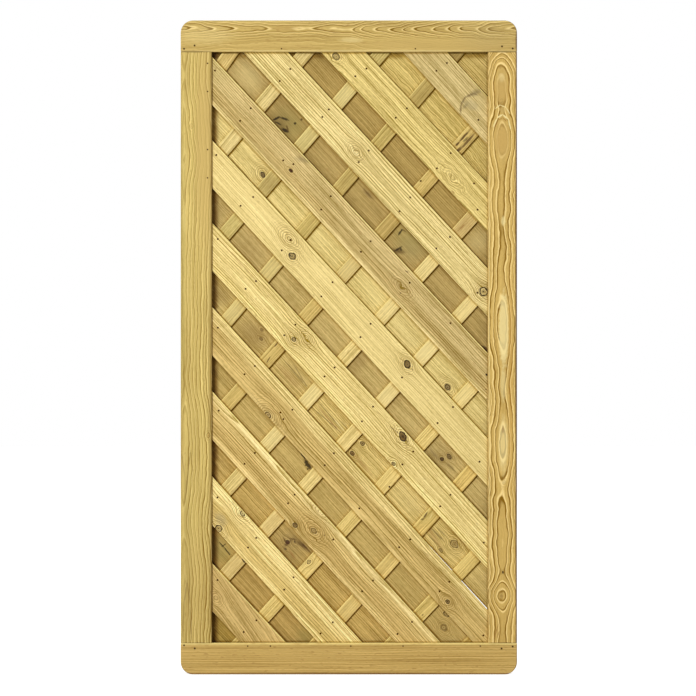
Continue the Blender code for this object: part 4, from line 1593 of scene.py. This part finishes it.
# The SHADE patches are painted shade; those by the left stile, near 220 across, stand for its shadow.
BACK_BOARD_MARKS: dict[int, tuple[Mark, ...]] = {
    2: (
        Mark(slat(-120, 184), 500, 30, BROWN, 0.16), patch((478, 242), PALE, 0.25, 70, 80),
    ),
    3: (
        patch((248, 76), PALE, 0.25, 100, 80), patch((411, 240), GREEN, 0.4, 100, 80),
        patch((287, 118), SHADE, 0.35, 140, 90), patch((413, 247), GREY, 0.18, 80, 80),
        patch((290, 124), GREEN, 0.4, 110, 80), patch((280, 124), BARK, 0.45, 60, 50),
        stroke((272.5, 120.5), (279.5, 116.8), 6.5, HOLE, 0.9),
        stroke((279.5, 116.8), (289, 120.5), 6.5, HOLE, 0.85),
        stroke((274.5, 121.5), (281.5, 125), 5, HOLE, 0.8),
        stroke((281, 128.5), (288.5, 131.8), 9, HOLE, 0.9),
        stroke((288.5, 131.8), (286.5, 125.5), 5, BARK, 0.8), Mark((295, 123.4), 7, 7, HOLE, 0.9),
        Mark((301.5, 119.6), 7, 7, BARK, 0.9), stroke((398.3, 235.5), (402.2, 229.2), 6, HOLE, 0.85),
        stroke((402.2, 229.2), (406, 232), 4, BARK, 0.7, 0.6),
        stroke((392.5, 249.5), (405, 252.5), 14, BARK, 0.75, 0.9),
        stroke((394, 251.5), (402, 246.5), 6, HOLE, 0.8, 0.6),
        stroke((363, 189), (373, 199), 11, DARK_BARK, 0.55, 1), Mark((401, 249.5), 10, 6, HOLE, 0.8),
        Mark((485, 349), 22, 12, DARK_BARK, 0.85, 47),
    ),
    4: (patch((406, 332), SHADE, 0.1, 140, 90),),
    5: (
        patch((251, 247), SHADE, 0.28, 140, 90), patch((220, 208), SHADE, 0.2, 70, 80),
        patch((436, 455), BARK, 0.22), patch((358, 361), SHADE, 0.4, 50), patch((393, 398), SHADE, 0.3, 50),
        stroke((428, 447), (440, 461), 9, BARK, 0.45, 0.9),
        stroke((446, 462), (455, 471), 7, BARK, 0.4, 0.9),
    ),
    6: (
        patch((221, 295), SHADE, 0.5), patch((253, 333), SHADE, 0.62, 140, 90),
        patch((291, 375), SHADE, 0.25, 140, 90), patch((478, 582), SHADE, 0.25, 80, 80),
        patch((407, 500), PALE, 0.15, 140, 90), stroke((352, 452), (372, 475), 10, BROWN, 0.45, 0.9),
        stroke((276, 362), (302, 390), 22, BROWN, 0.35, 1),
        stroke((284, 360), (306, 386), 3, BARK, 0.6, 0.6), stroke((291, 360), (309, 390), 3, BARK, 0.5, 0.6),
        stroke((316, 404), (340, 432), 4, BROWN, 0.65, 0.6), stroke((309, 405), (343, 434), 3, BARK),
        stroke((318, 401), (342, 430), 2.6, BARK, 0.55),
        stroke((425, 523), (442, 549), 12, BROWN, 0.45, 0.9),
        stroke((431, 528), (444, 541), 5.5, BARK, 0.6, 0.7),
        stroke((436, 527), (447, 537), 4, BARK, 0.5, 0.7),
        stroke((428, 535), (440, 547), 4, BARK, 0.45, 0.7),
        stroke((334, 419), (346, 433), 2.6, PALE, 0.75, 0.3),
        stroke((341, 421), (349, 430), 2.2, BARK, 0.5, 0.4),
    ),
    7: (
        stroke((299.5, 450.5), (306.5, 460.5), 7, HOLE, 0.85, 0.6),
        stroke((304, 459), (311.5, 470.5), 10, HOLE, 0.9), Mark((305.9, 465.2), 5, 5, HOLE, 0.9),
        Mark((307.6, 469), 4.5, 4.5, HOLE, 0.85),
    ),
    8: (
        patch((290, 544), SOOT, 0.36, 140, 90), stroke((292, 536), (311, 553), 16, BARK, 0.6, 1),
        stroke((284, 546), (292, 540), 9, DARK_BARK, 0.75, 0.8),
        stroke((296, 541), (305, 548), 7, BARK, 0.6, 0.9),
        stroke((283, 537), (288, 545), 5, DARK_BARK, 0.75, 0.7),
        stroke((289, 550), (296, 560), 6, BROWN, 0.65, 0.9),
        stroke((301, 542), (309, 551), 5, DARK_BARK, 0.7, 0.8),
        stroke((288, 538), (297, 540), 4, DARK_BARK, 0.6, 0.8), patch((221, 465), SHADE, 0.12, 90, 60),
    ),
    9: (
        patch((220, 550), GREEN, 0.4, 90, 80), stroke((219, 541.8), (224.2, 547.6), 3.4, HOLE, 0.85, 0.3),
        stroke((224.2, 547.6), (230.6, 555.6), 3.4, HOLE, 0.85, 0.3),
        stroke((221.6, 546.8), (226.4, 543.4), 3.2, HOLE, 0.75, 0.3), patch((308, 635), GREEN, 0.4, 60, 60),
    ),
    10: (Mark(slat(70, -262), 400, 16, BARK, 0.2),),
}
BACK_BOARD_KNOTS: dict[int, tuple[Knot, ...]] = {
    4: (
        Knot((262.8, 174.8), 6, 0.95, 1.3, 0.9, 4, 1, 0.2, 0.9, BARK),
        Knot((447.6, 387.2), 7, 0.9, 1.2, 0.9, 3, 0.9, 0, 0.85),
    ),
    5: (
        Knot((442, 459.2), 4.5, 1, 1.2, 0.9, 3, 0.8, 0, 1, BARK),
        Knot((448.7, 456.8), 6.5, 0.9, 1.2, 0.9, 2.6, 0.8, 0, 0.8),
    ),
    6: (
        Knot((261.8, 329.8), 3.4, 0.75, 1.3, 0.9, 3.6, 0.6, 0, 0.9),
        Knot((261.2, 338.8), 4, 0.8, 1.3, 0.9, 3.6, 0.6, 0, 0.9),
        Knot((352.2, 453.2), 5, 1, 1.3, 0.9, 3, 0.8, 0, 0.9),
        Knot((362.4, 443.4), 5, 0.85, 1.3, 0.9, 3, 0.8, 0, 0.9),
        Knot((454.3, 544), 9.5, 0.42, 1.2, 0.95, 2.6, 1, 0, 1),
        Knot((441.7, 549.6), 5, 0.6, 1.3, 0.9, 2.4, 0.8, 0, 0.8),
    ),
    7: (
        Knot((443.8, 627.6), 7, 0.55, 1.2, 0.95, 2.8, 1, 0, 0.5),
        Knot((445.9, 614.3), 6, 0.8, 1.4, 0.8, 2.2, 0.6),
    ),
    8: (
        Knot((287.6, 542), 5, 1, 1.2, 0.9, 2.8, 0.8, 0, 1, DARK_BARK),
        Knot((294, 542.3), 2.6, 0.9, 1.2, 0.9, 2.8, 0.6, 0, 0.9),
        Knot((286.1, 548.2), 3, 0.8, 1.2, 0.9, 2.8, 0.6, 0, 0.9),
    ),
}

# Where each front board's nails show, from its upper left end.
BOARD_NAILS: tuple[tuple[Place, ...], ...] = (
    ((446.9, 63), (436.4, 70.8), (478.4, 119.9)),
    (
        (366.4, 68.6), (355.3, 76.3), (406.9, 108.3), (395.8, 117.7), (450.7, 153.2), (436.9, 168.3),
        (474, 183.4), (477.5, 209.6),
    ),
    (
        (290.3, 69), (279.7, 81), (328.8, 109.4), (322.3, 117), (368.7, 150.6), (358.7, 162.1),
        (410.2, 197.4), (399.5, 211.2), (450, 237), (436.3, 248.4), (477.4, 292.8),
    ),
    (
        (215, 70.6), (250.8, 108.2), (240, 120.8), (293.4, 164.1), (283.2, 160.4), (330.8, 196.2),
        (321.2, 209.6), (370.6, 241.3), (360.9, 251.7), (409.7, 282.7), (450.4, 323.2),
    ),
    (
        (216.3, 155), (253.2, 197), (240.6, 205.8), (290.5, 239.9), (281.7, 250.4), (332.5, 282.2),
        (321.4, 296.4), (370.6, 323.8), (360.5, 337.1), (402, 377.5), (453, 407), (437.6, 423),
        (479.5, 461.7),
    ),
    (
        (217.8, 239), (256, 281.1), (245.6, 288.8), (295.4, 324.6), (284.3, 335.2), (334.6, 367.5),
        (324.5, 376.5), (373.1, 406.7), (361.9, 421.4), (413.2, 451.5), (402.4, 464.5), (450.5, 494.8),
        (440.1, 506.3), (483.8, 542.6),
    ),
    (
        (217.9, 327.7), (254.9, 366), (244.5, 374.2), (292.4, 409.7), (283.4, 419.2), (280.4, 412.5),
        (333.9, 453.2), (324.8, 465.2), (359.3, 508.4), (410.2, 539.4), (399.2, 547.2), (439.5, 591.3),
        (449.2, 581.8), (483.4, 635.4),
    ),
    (
        (218.7, 410.6), (254.9, 452.9), (244.5, 463.8), (294.6, 494.6), (288, 503.3), (333.2, 539.5),
        (373, 580.6), (362.1, 591.3), (412, 621.9), (397.5, 633.9),
    ),
    (
        (217.5, 497.4), (256.2, 537.9), (248, 547.5), (293.5, 577.3), (284.3, 589.6), (332.8, 622.4),
        (320.6, 633.4),
    ),
    ((217.5, 580), (256.3, 620.4), (243.7, 632)),
)
BATTEN_NAILS: tuple[Place, ...] = ((389.4, 486.8), (420.7, 181.0))


@dataclass
class FrameTimbers:
    """The two rails and the two stiles around the infill, and the holes around their pins in millimetres."""

    rail_names: tuple[str, str] = ("top_rail", "bottom_rail")
    stile_names: tuple[str, str] = ("left_stile", "right_stile")
    corner_hole: float = 5.6
    board_end_hole: float = 4.4
    seed: float = 3.0
    seed_step: float = 2.3
    lies: dict[str, Lie] = field(default_factory=dict)

    def hole(self, pin: str) -> Mark:
        """Makes the dark hole and stain around a pin's head.

        Args:
            pin: The pin's node.

        Returns:
            The mark.
        """
        low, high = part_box(pin)
        head = Vector(((low.x + high.x) / 2, Layer.FRAME.value, (low.z + high.z) / 2))
        stain, size = (HOLE, self.corner_hole) if pin.startswith("corner") else (BARK, self.board_end_hole)
        return Mark(PICTURE.place(head), size, size, stain, strength=0.9, soft=0.5, ragged=0.1)

    @staticmethod
    def _within(pin: str, low: Vector, high: Vector) -> bool:
        """Tells whether a pin's head shows in the face of a timber with this box."""
        pin_low, pin_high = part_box(pin)
        return low.x < pin_low.x and pin_high.x < high.x and low.z < pin_low.z and pin_high.z < high.z

    def dress(self, nodes: Objects, joiner: Joiner) -> None:
        """Dresses the rails and the stiles.

        Args:
            nodes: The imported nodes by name.
            joiner: What dresses them.
        """
        pins = [name for name in nodes if "_pin_" in name]
        for number, name in enumerate(self.rail_names + self.stile_names):
            low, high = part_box(name)
            size = high - low
            if name in self.stile_names:
                slope, length, width = STILE_SLOPE, size.z, size.x
            else:
                slope, length, width = RAIL_SLOPE, size.x, size.z
            lie = Lie((low + high) / 2, slope, length / 2, width / 2, Layer.FRAME.value)
            self.lies[name] = lie
            holes = tuple(self.hole(pin) for pin in pins if self._within(pin, low, high))
            pine = replace(FRAME_PINES[name], marks=FRAME_PINES[name].marks + holes)
            joiner.dress(nodes[name], lie, pine, self.seed + self.seed_step * number)
            LOG.info("%s dressed in sawn pine", name)


@dataclass(frozen=True)
class Run:
    """A long edge of a strip: its lean against the pattern's slope, its length and its middle."""

    lean: float
    length: float
    middle: Vector


@dataclass
class Infill:
    """The three layers of diagonal strips, each with its slope and its widths in metres."""

    board_width: float = 0.087
    batten_width: float = 0.037
    widest_lean: float = math.radians(8.0)
    parallel: float = math.radians(0.5)
    shortest_edge: float = 0.02
    whole_share: float = 0.7
    seeds: tuple[float, float, float] = (11.0, 51.0, 91.0)
    seed_step: float = 3.1
    lies: dict[str, Lie] = field(default_factory=dict)

    def _runs(self, strip: bpy.types.Object, slope: float) -> list[Run]:
        """Finds the long edges of a strip that are parallel to its longest ones.

        Args:
            strip: The node's object.
            slope: The slope of its layer's pattern.

        Returns:
            The edges.
        """
        points = [vertex.co for vertex in strip.data.vertices]
        runs: list[Run] = []
        for edge in strip.data.edges:
            start, end = points[edge.vertices[0]], points[edge.vertices[1]]
            step = Vector((end.x - start.x, 0.0, end.z - start.z))
            if step.length > self.shortest_edge:
                lean = (math.atan2(-step.z, step.x) - slope + math.pi / 2) % math.pi - math.pi / 2
                if abs(lean) < self.widest_lean:
                    runs.append(Run(lean, step.length, (start + end) / 2))
        beside = [[run for run in runs if abs(run.lean - main.lean) < self.parallel] for main in runs]
        return max(beside, key=lambda group: sum(run.length for run in group))

    def lie_of(self, strip: bpy.types.Object, layer: Layer) -> Lie:
        """Finds how a strip lies from its own long edges.

        A strip that the frame cuts along its length shows one long edge only, and keeps its full width.

        Args:
            strip: The node's object.
            layer: The layer it is in.

        Returns:
            Its lie.
        """
        on_battens = layer is Layer.BATTENS
        slope, width = (BATTEN_SLOPE, self.batten_width) if on_battens else (BOARD_SLOPE, self.board_width)
        runs = self._runs(strip, slope)
        slope += sum(run.lean * run.length for run in runs) / sum(run.length for run in runs)
        cosine, sine = math.cos(slope), math.sin(slope)
        points = [vertex.co for vertex in strip.data.vertices]
        across_all = [sine * point.x + cosine * point.z for point in points]
        along_all = [cosine * point.x - sine * point.z for point in points]
        depths = [point.y for point in points]
        edges = [sine * run.middle.x + cosine * run.middle.z for run in runs]
        low, high = min(edges), max(edges)
        if high - low < self.whole_share * width:
            rest = sum(across_all) / len(across_all)
            edge = (low + high) / 2
            low, high = (edge, edge + width) if rest > edge else (edge - width, edge)
        across, along = (low + high) / 2, (min(along_all) + max(along_all)) / 2
        depth = (min(depths) + max(depths)) / 2
        middle = Vector((cosine * along + sine * across, depth, cosine * across - sine * along))
        return Lie(middle, slope, (max(along_all) - min(along_all)) / 2, (high - low) / 2, layer.value)

    @staticmethod
    def batten_pines() -> list[Pine]:
        """Makes the pine of the battens, whose pith lies by turns above and below.

        Returns:
            The finishes, from the top left.
        """
        common = Pine(tone=TAN.value, contrast=0.55, fine=0.28, rings=5.0, depth=20.0, upper=0.65, lower=0.15)
        return [
            replace(
                common,
                tone=tone,
                pith=-1.8 if number % 2 else 1.6,
                knots=BATTEN_KNOTS.get(number, ()),
                marks=BATTEN_MARKS.get(number, ()),
            )
            for number, tone in enumerate(BATTEN_TONES)
        ]

    @staticmethod
    def back_board_pines() -> list[Pine]:
        """Makes the pine of the back boards, of which one has wild grain.

        Returns:
            The finishes, from the top right.
        """
        common = Pine(tone=TAN.value, fine=0.30, rings=4.8, waver=1.0, mottle=0.22, upper=0.1, lower=0.1)
        pines = [
            replace(
                common,
                tone=tone,
                contrast=BACK_BOARD_CONTRASTS[number],
                pith=-1.6 if number % 2 else 1.6,
                knots=BACK_BOARD_KNOTS.get(number, ()),
                marks=BACK_BOARD_MARKS.get(number, ()),
            )
            for number, tone in enumerate(BACK_BOARD_TONES)
        ]
        pines[WILD_BACK_BOARD] = replace(pines[WILD_BACK_BOARD], ripple=3.6, waver=4.0)
        return pines

    def dress(self, nodes: Objects, joiner: Joiner, frame: dict[str, Lie]) -> None:
        """Dresses the three layers.

        Args:
            nodes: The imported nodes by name.
            joiner: What dresses them.
            frame: How the rails and stiles around them lie, by name.
        """
        layers = {
            Layer.FRONT_BOARDS: ("front_board", FRONT_BOARD_PINES),
            Layer.BATTENS: ("batten", self.batten_pines()),
            Layer.BACK_BOARDS: ("back_board", self.back_board_pines()),
        }
        for layer, (stem, pines) in layers.items():
            for number in range(1, len(pines) + 1):
                name = f"{stem}_{number:02d}"
                self.lies[name] = self.lie_of(nodes[name], layer)
        for (layer, (stem, pines)), seed in zip(layers.items(), self.seeds):
            for number, pine in enumerate(pines, start=1):
                name = f"{stem}_{number:02d}"
                crossings = self.crossings(name, layer) + self.framed(frame, layer)
                joiner.dress(nodes[name], self.lies[name], pine, seed + self.seed_step * number, crossings)
                LOG.info("%s dressed in sawn pine", name)

    def crossings(self, name: str, layer: Layer) -> tuple[Crossing, ...]:
        """Finds the strips that lie on a strip.

        Args:
            name: The lower strip.
            layer: Its layer.

        Returns:
            The upper strips that reach over it.
        """
        lower = self.lies[name]
        side = Vector((math.sin(lower.slope), 0.0, math.cos(lower.slope)))
        found = []
        for upper in self.lies.values():
            if upper.face >= lower.face:
                continue
            on_batten = upper.face == Layer.BATTENS.value
            if on_batten or layer is Layer.BATTENS:
                near = self._overlap(lower, upper)
            else:
                near = abs((upper.middle - lower.middle).dot(side)) < lower.half_width + upper.half_width
            if near:
                found.append(Crossing(upper, BATTEN_PAINTED_SHADE if on_batten else BOARD_PAINTED_SHADE))
        return tuple(found)

    @staticmethod
    def framed(frame: dict[str, Lie], layer: Layer) -> tuple[Crossing, ...]:
        """Finds the frame members, beside which the strips get painted shadow and painted shade.

        Args:
            frame: How the rails and stiles lie, by name.
            layer: The strips' layer.

        Returns:
            The members as crossings.
        """
        return (
            Crossing(frame["top_rail"], TOP_RAIL_PAINTED_SHADOW[layer]),
            Crossing(frame["left_stile"], LEFT_STILE_PAINTED_SHADOW[layer]),
            Crossing(frame["right_stile"], RIGHT_STILE_PAINTED_SHADE),
            Crossing(frame["bottom_rail"], BOTTOM_RAIL_PAINTED_SHADE),
        )

    @staticmethod
    def _overlap(lower: Lie, upper: Lie) -> bool:
        """Tells whether two strips of different slopes cross within their lengths.

        Args:
            lower: The lower strip.
            upper: The upper strip.

        Returns:
            True where they cross.
        """
        step = upper.middle - lower.middle
        way = Vector((math.cos(lower.slope), 0.0, -math.sin(lower.slope)))
        other_side = Vector((math.sin(upper.slope), 0.0, math.cos(upper.slope)))
        other_way = Vector((math.cos(upper.slope), 0.0, -math.sin(upper.slope)))
        along = step.dot(other_side) / way.dot(other_side)
        if abs(along) > lower.half_length + upper.half_width:
            return False
        meeting = lower.middle + way * along
        return abs((meeting - upper.middle).dot(other_way)) < upper.half_length + lower.half_width


@dataclass(frozen=True)
class PinSteel:
    """Dull steel of the nails and pins, with rust in its hollows. The relief is in metres."""

    steel: Colour = (62, 38, 5)
    rust: Colour = (84, 48, 8)
    metal: float = 0.1
    roughness: float = 0.75
    rust_roughness: float = 0.15
    rust_patches: tuple[float, float] = (0.42, 0.60)
    specular: float = 0.04
    relief_strength: float = 0.4
    relief: float = 0.0001

    def material(self) -> bpy.types.Material:
        """Makes the steel.

        Returns:
            The material.
        """
        finish = bpy.data.materials.new("dull_pin_steel")
        sheet = Sheet.of(finish)
        place = sheet.node("ShaderNodeTexCoord").outputs["Object"]
        rusty = sheet.smooth(sheet.noise(place, Pattern.RUST, detail=2.0), *self.rust_patches)
        inputs = {
            "Base Color": sheet.tint(rusty, linear(self.steel), self.rust),
            "Metallic": sheet.line(rusty, -self.metal, self.metal),
            "Roughness": sheet.line(rusty, self.rust_roughness, self.roughness),
            "Normal": sheet.bump(sheet.noise(place, Pattern.STEEL_GRIT), self.relief_strength, self.relief),
        }
        shader = sheet.node("ShaderNodeBsdfPrincipled", inputs)
        shader.inputs["Specular IOR Level"].default_value = self.specular
        sheet.node("ShaderNodeOutputMaterial", {0: shader.outputs[0]})
        return finish


@dataclass
class Fixings:
    """The frame's pins and the nails through the strips, in metres.

    A nail head is a low dome. Its loops are given by their share of the radius and how far they stand proud.
    """

    head_radius: float = 0.0027
    head_loops: tuple[Place, ...] = ((1.0, -0.0003), (1.0, 0.00012), (0.72, 0.00034))
    head_proud: float = 0.0004
    head_sides: int = 10

    @staticmethod
    def spots() -> list[Vector]:
        """Finds the middle of each nail head on the faces of the front boards and the battens.

        Returns:
            The middles.
        """
        faces = [(place, Layer.FRONT_BOARDS) for places in BOARD_NAILS for place in places]
        faces += [(place, Layer.BATTENS) for place in BATTEN_NAILS]
        return [PICTURE.point(place, layer.value) for place, layer in faces]

    def _head(self, work: bmesh.types.BMesh, spot: Vector) -> None:
        """Adds one head to the nails' mesh.

        Args:
            work: The mesh.
            spot: The middle of the head.
        """
        loops = []
        for share, proud in self.head_loops:
            loop = []
            for side in range(self.head_sides):
                angle = 2 * math.pi * side / self.head_sides
                reach = self.head_radius * share
                offset = Vector((reach * math.cos(angle), -proud, reach * math.sin(angle)))
                loop.append(work.verts.new(spot + offset))
            loops.append(loop)
        crown = work.verts.new(spot + Vector((0.0, -self.head_proud, 0.0)))
        for side in range(self.head_sides):
            after = (side + 1) % self.head_sides
            for inner, outer in zip(loops[1:], loops):
                work.faces.new((outer[side], outer[after], inner[after], inner[side]))
            work.faces.new((loops[-1][side], loops[-1][after], crown))

    def nails(self, spots: list[Vector]) -> bpy.types.Object:
        """Builds all the nail heads as one mesh of low domes.

        Args:
            spots: The middle of each head.

        Returns:
            The nails.
        """
        mesh = bpy.data.meshes.new("board_nails")
        work = bmesh.new()
        for spot in spots:
            self._head(work, spot)
        bmesh.ops.recalc_face_normals(work, faces=work.faces)
        for face in work.faces:
            face.smooth = True
        work.to_mesh(mesh)
        work.free()
        return put_in_scene("board_nails", mesh)

    def build(self, nodes: Objects) -> None:
        """Builds the nails and dresses them and the pins.

        Args:
            nodes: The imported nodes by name.
        """
        steel = PinSteel().material()
        spots = self.spots()
        nails = self.nails(spots)
        nails.data.materials.append(steel)
        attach(nails, "root")
        pins = [name for name in nodes if "_pin_" in name]
        for name in pins:
            for slot in nodes[name].material_slots:
                slot.material = steel
        LOG.info("%d nails driven, %d pins dressed", len(spots), len(pins))


@dataclass
class Studio:
    """The floor, the lamps, the white surround and the camera. Lengths are in metres."""

    floor_reach: float = 14.0
    floor_sides: int = 96
    floor_tone: Colour = (226, 225, 222)
    floor_worn: float = 0.985
    floor_roughness: float = 0.8
    worn_roughness: float = 0.1
    floor_specular: float = 0.1
    floor_glow: float = 0.68
    sky_strength: float = 0.50
    lamp_distance: float = 6.0
    gate_middle: Triple = (0.0, 0.0, 0.875)
    key_way: Triple = (-0.372, -0.891, 0.259)
    key_size: float = 0.9
    key_power: float = 190.0
    back_way: Triple = (0.45, 0.80, 0.40)
    back_size: float = 3.0
    back_power: float = 110.0
    camera_reach: float = 60.0

    def build(self) -> None:
        """Builds the whole studio."""
        self._floor()
        self._surround()
        self._lamp("key_lamp", self.key_way, self.key_size, self.key_power)
        self._lamp("back_lamp", self.back_way, self.back_size, self.back_power)
        self._camera()
        bpy.context.scene.view_settings.view_transform = "Standard"
        LOG.info("studio set up")

    @staticmethod
    def _seen(sheet: Sheet) -> Socket:
        """Makes 1 for rays that look at the surround, straight or by a mirror or glass.

        Args:
            sheet: The sheet of the floor's material or of the world.

        Returns:
            The mask.
        """
        path = sheet.node("ShaderNodeLightPath").outputs
        sharp = sheet.plus(path["Is Camera Ray"], path["Is Glossy Ray"])
        return sheet.maths("MINIMUM", sheet.plus(sharp, path["Is Transmission Ray"]), 1.0)

    def _floor(self) -> None:
        """Lays a round pale floor that keeps the gate's shadow."""
        mesh = bpy.data.meshes.new("studio_floor")
        work = bmesh.new()
        bmesh.ops.create_circle(work, cap_ends=True, segments=self.floor_sides, radius=self.floor_reach)
        work.to_mesh(mesh)
        work.free()
        floor = put_in_scene("studio_floor", mesh)
        finish = bpy.data.materials.new("pale_floor")
        sheet = Sheet.of(finish)
        place = sheet.node("ShaderNodeTexCoord").outputs["Object"]
        worn = sheet.noise(place, Pattern.FLOOR_WEAR, detail=3.0)
        red, green, blue = (channel * self.floor_worn for channel in self.floor_tone)
        inputs = {
            "Base Color": sheet.tint(worn, linear(self.floor_tone), (red, green, blue)),
            "Roughness": sheet.line(worn, self.worn_roughness, self.floor_roughness),
            "Emission Strength": sheet.times(self._seen(sheet), self.floor_glow),
        }
        shader = sheet.node("ShaderNodeBsdfPrincipled", inputs)
        shader.inputs["Specular IOR Level"].default_value = self.floor_specular
        shader.inputs["Emission Color"].default_value = (1.0, 1.0, 1.0, 1.0)
        sheet.node("ShaderNodeOutputMaterial", {0: shader.outputs[0]})
        floor.data.materials.append(finish)

    def _surround(self) -> None:
        """Makes the surround white to look at and soft as a light."""
        world = bpy.data.worlds.new("white_surround")
        bpy.context.scene.world = world
        sheet = Sheet.of(world)
        strength = sheet.line(self._seen(sheet), 1.0 - self.sky_strength, self.sky_strength)
        background = sheet.node("ShaderNodeBackground", {"Strength": strength})
        background.inputs["Color"].default_value = (1.0, 1.0, 1.0, 1.0)
        sheet.node("ShaderNodeOutputWorld", {0: background.outputs[0]})

    def _lamp(self, name: str, way: Triple, size: float, power: float) -> None:
        """Hangs a square soft lamp that faces the gate.

        Args:
            name: The lamp's name.
            way: The direction from the gate to the lamp.
            size: The lamp's side in metres.
            power: Its power in watts.
        """
        lamp = bpy.data.lights.new(name, "AREA")
        lamp.shape = "SQUARE"
        lamp.size = size
        lamp.energy = power
        hung = put_in_scene(name, lamp)
        direction = Vector(way).normalized()
        hung.location = Vector(self.gate_middle) + direction * self.lamp_distance
        hung.rotation_euler = direction.to_track_quat("Z", "Y").to_euler()

    def _camera(self) -> None:
        """Places the camera square in front of the gate."""
        lens = bpy.data.cameras.new("front_camera")
        lens.sensor_width = PICTURE.sensor
        lens.lens = PICTURE.lens()
        lens.clip_end = self.camera_reach
        camera = put_in_scene("front_camera", lens)
        camera.location = (PICTURE.eye[0], PICTURE.eye_depth, PICTURE.eye[1])
        camera.rotation_euler = (math.radians(90.0), 0.0, 0.0)
        bpy.context.scene.camera = camera


def main() -> None:
    """Dresses the gate and sets up the studio."""
    logging.basicConfig(level=logging.INFO, format="%(name)s: %(message)s")
    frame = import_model()
    nodes = frame["nodes"]
    joiner = Joiner(TimberShaders())
    frame_timbers = FrameTimbers()
    frame_timbers.dress(nodes, joiner)
    Infill().dress(nodes, joiner, frame_timbers.lies)
    Fixings().build(nodes)
    Studio().build()
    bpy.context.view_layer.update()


if __name__ == "__main__":
    main()
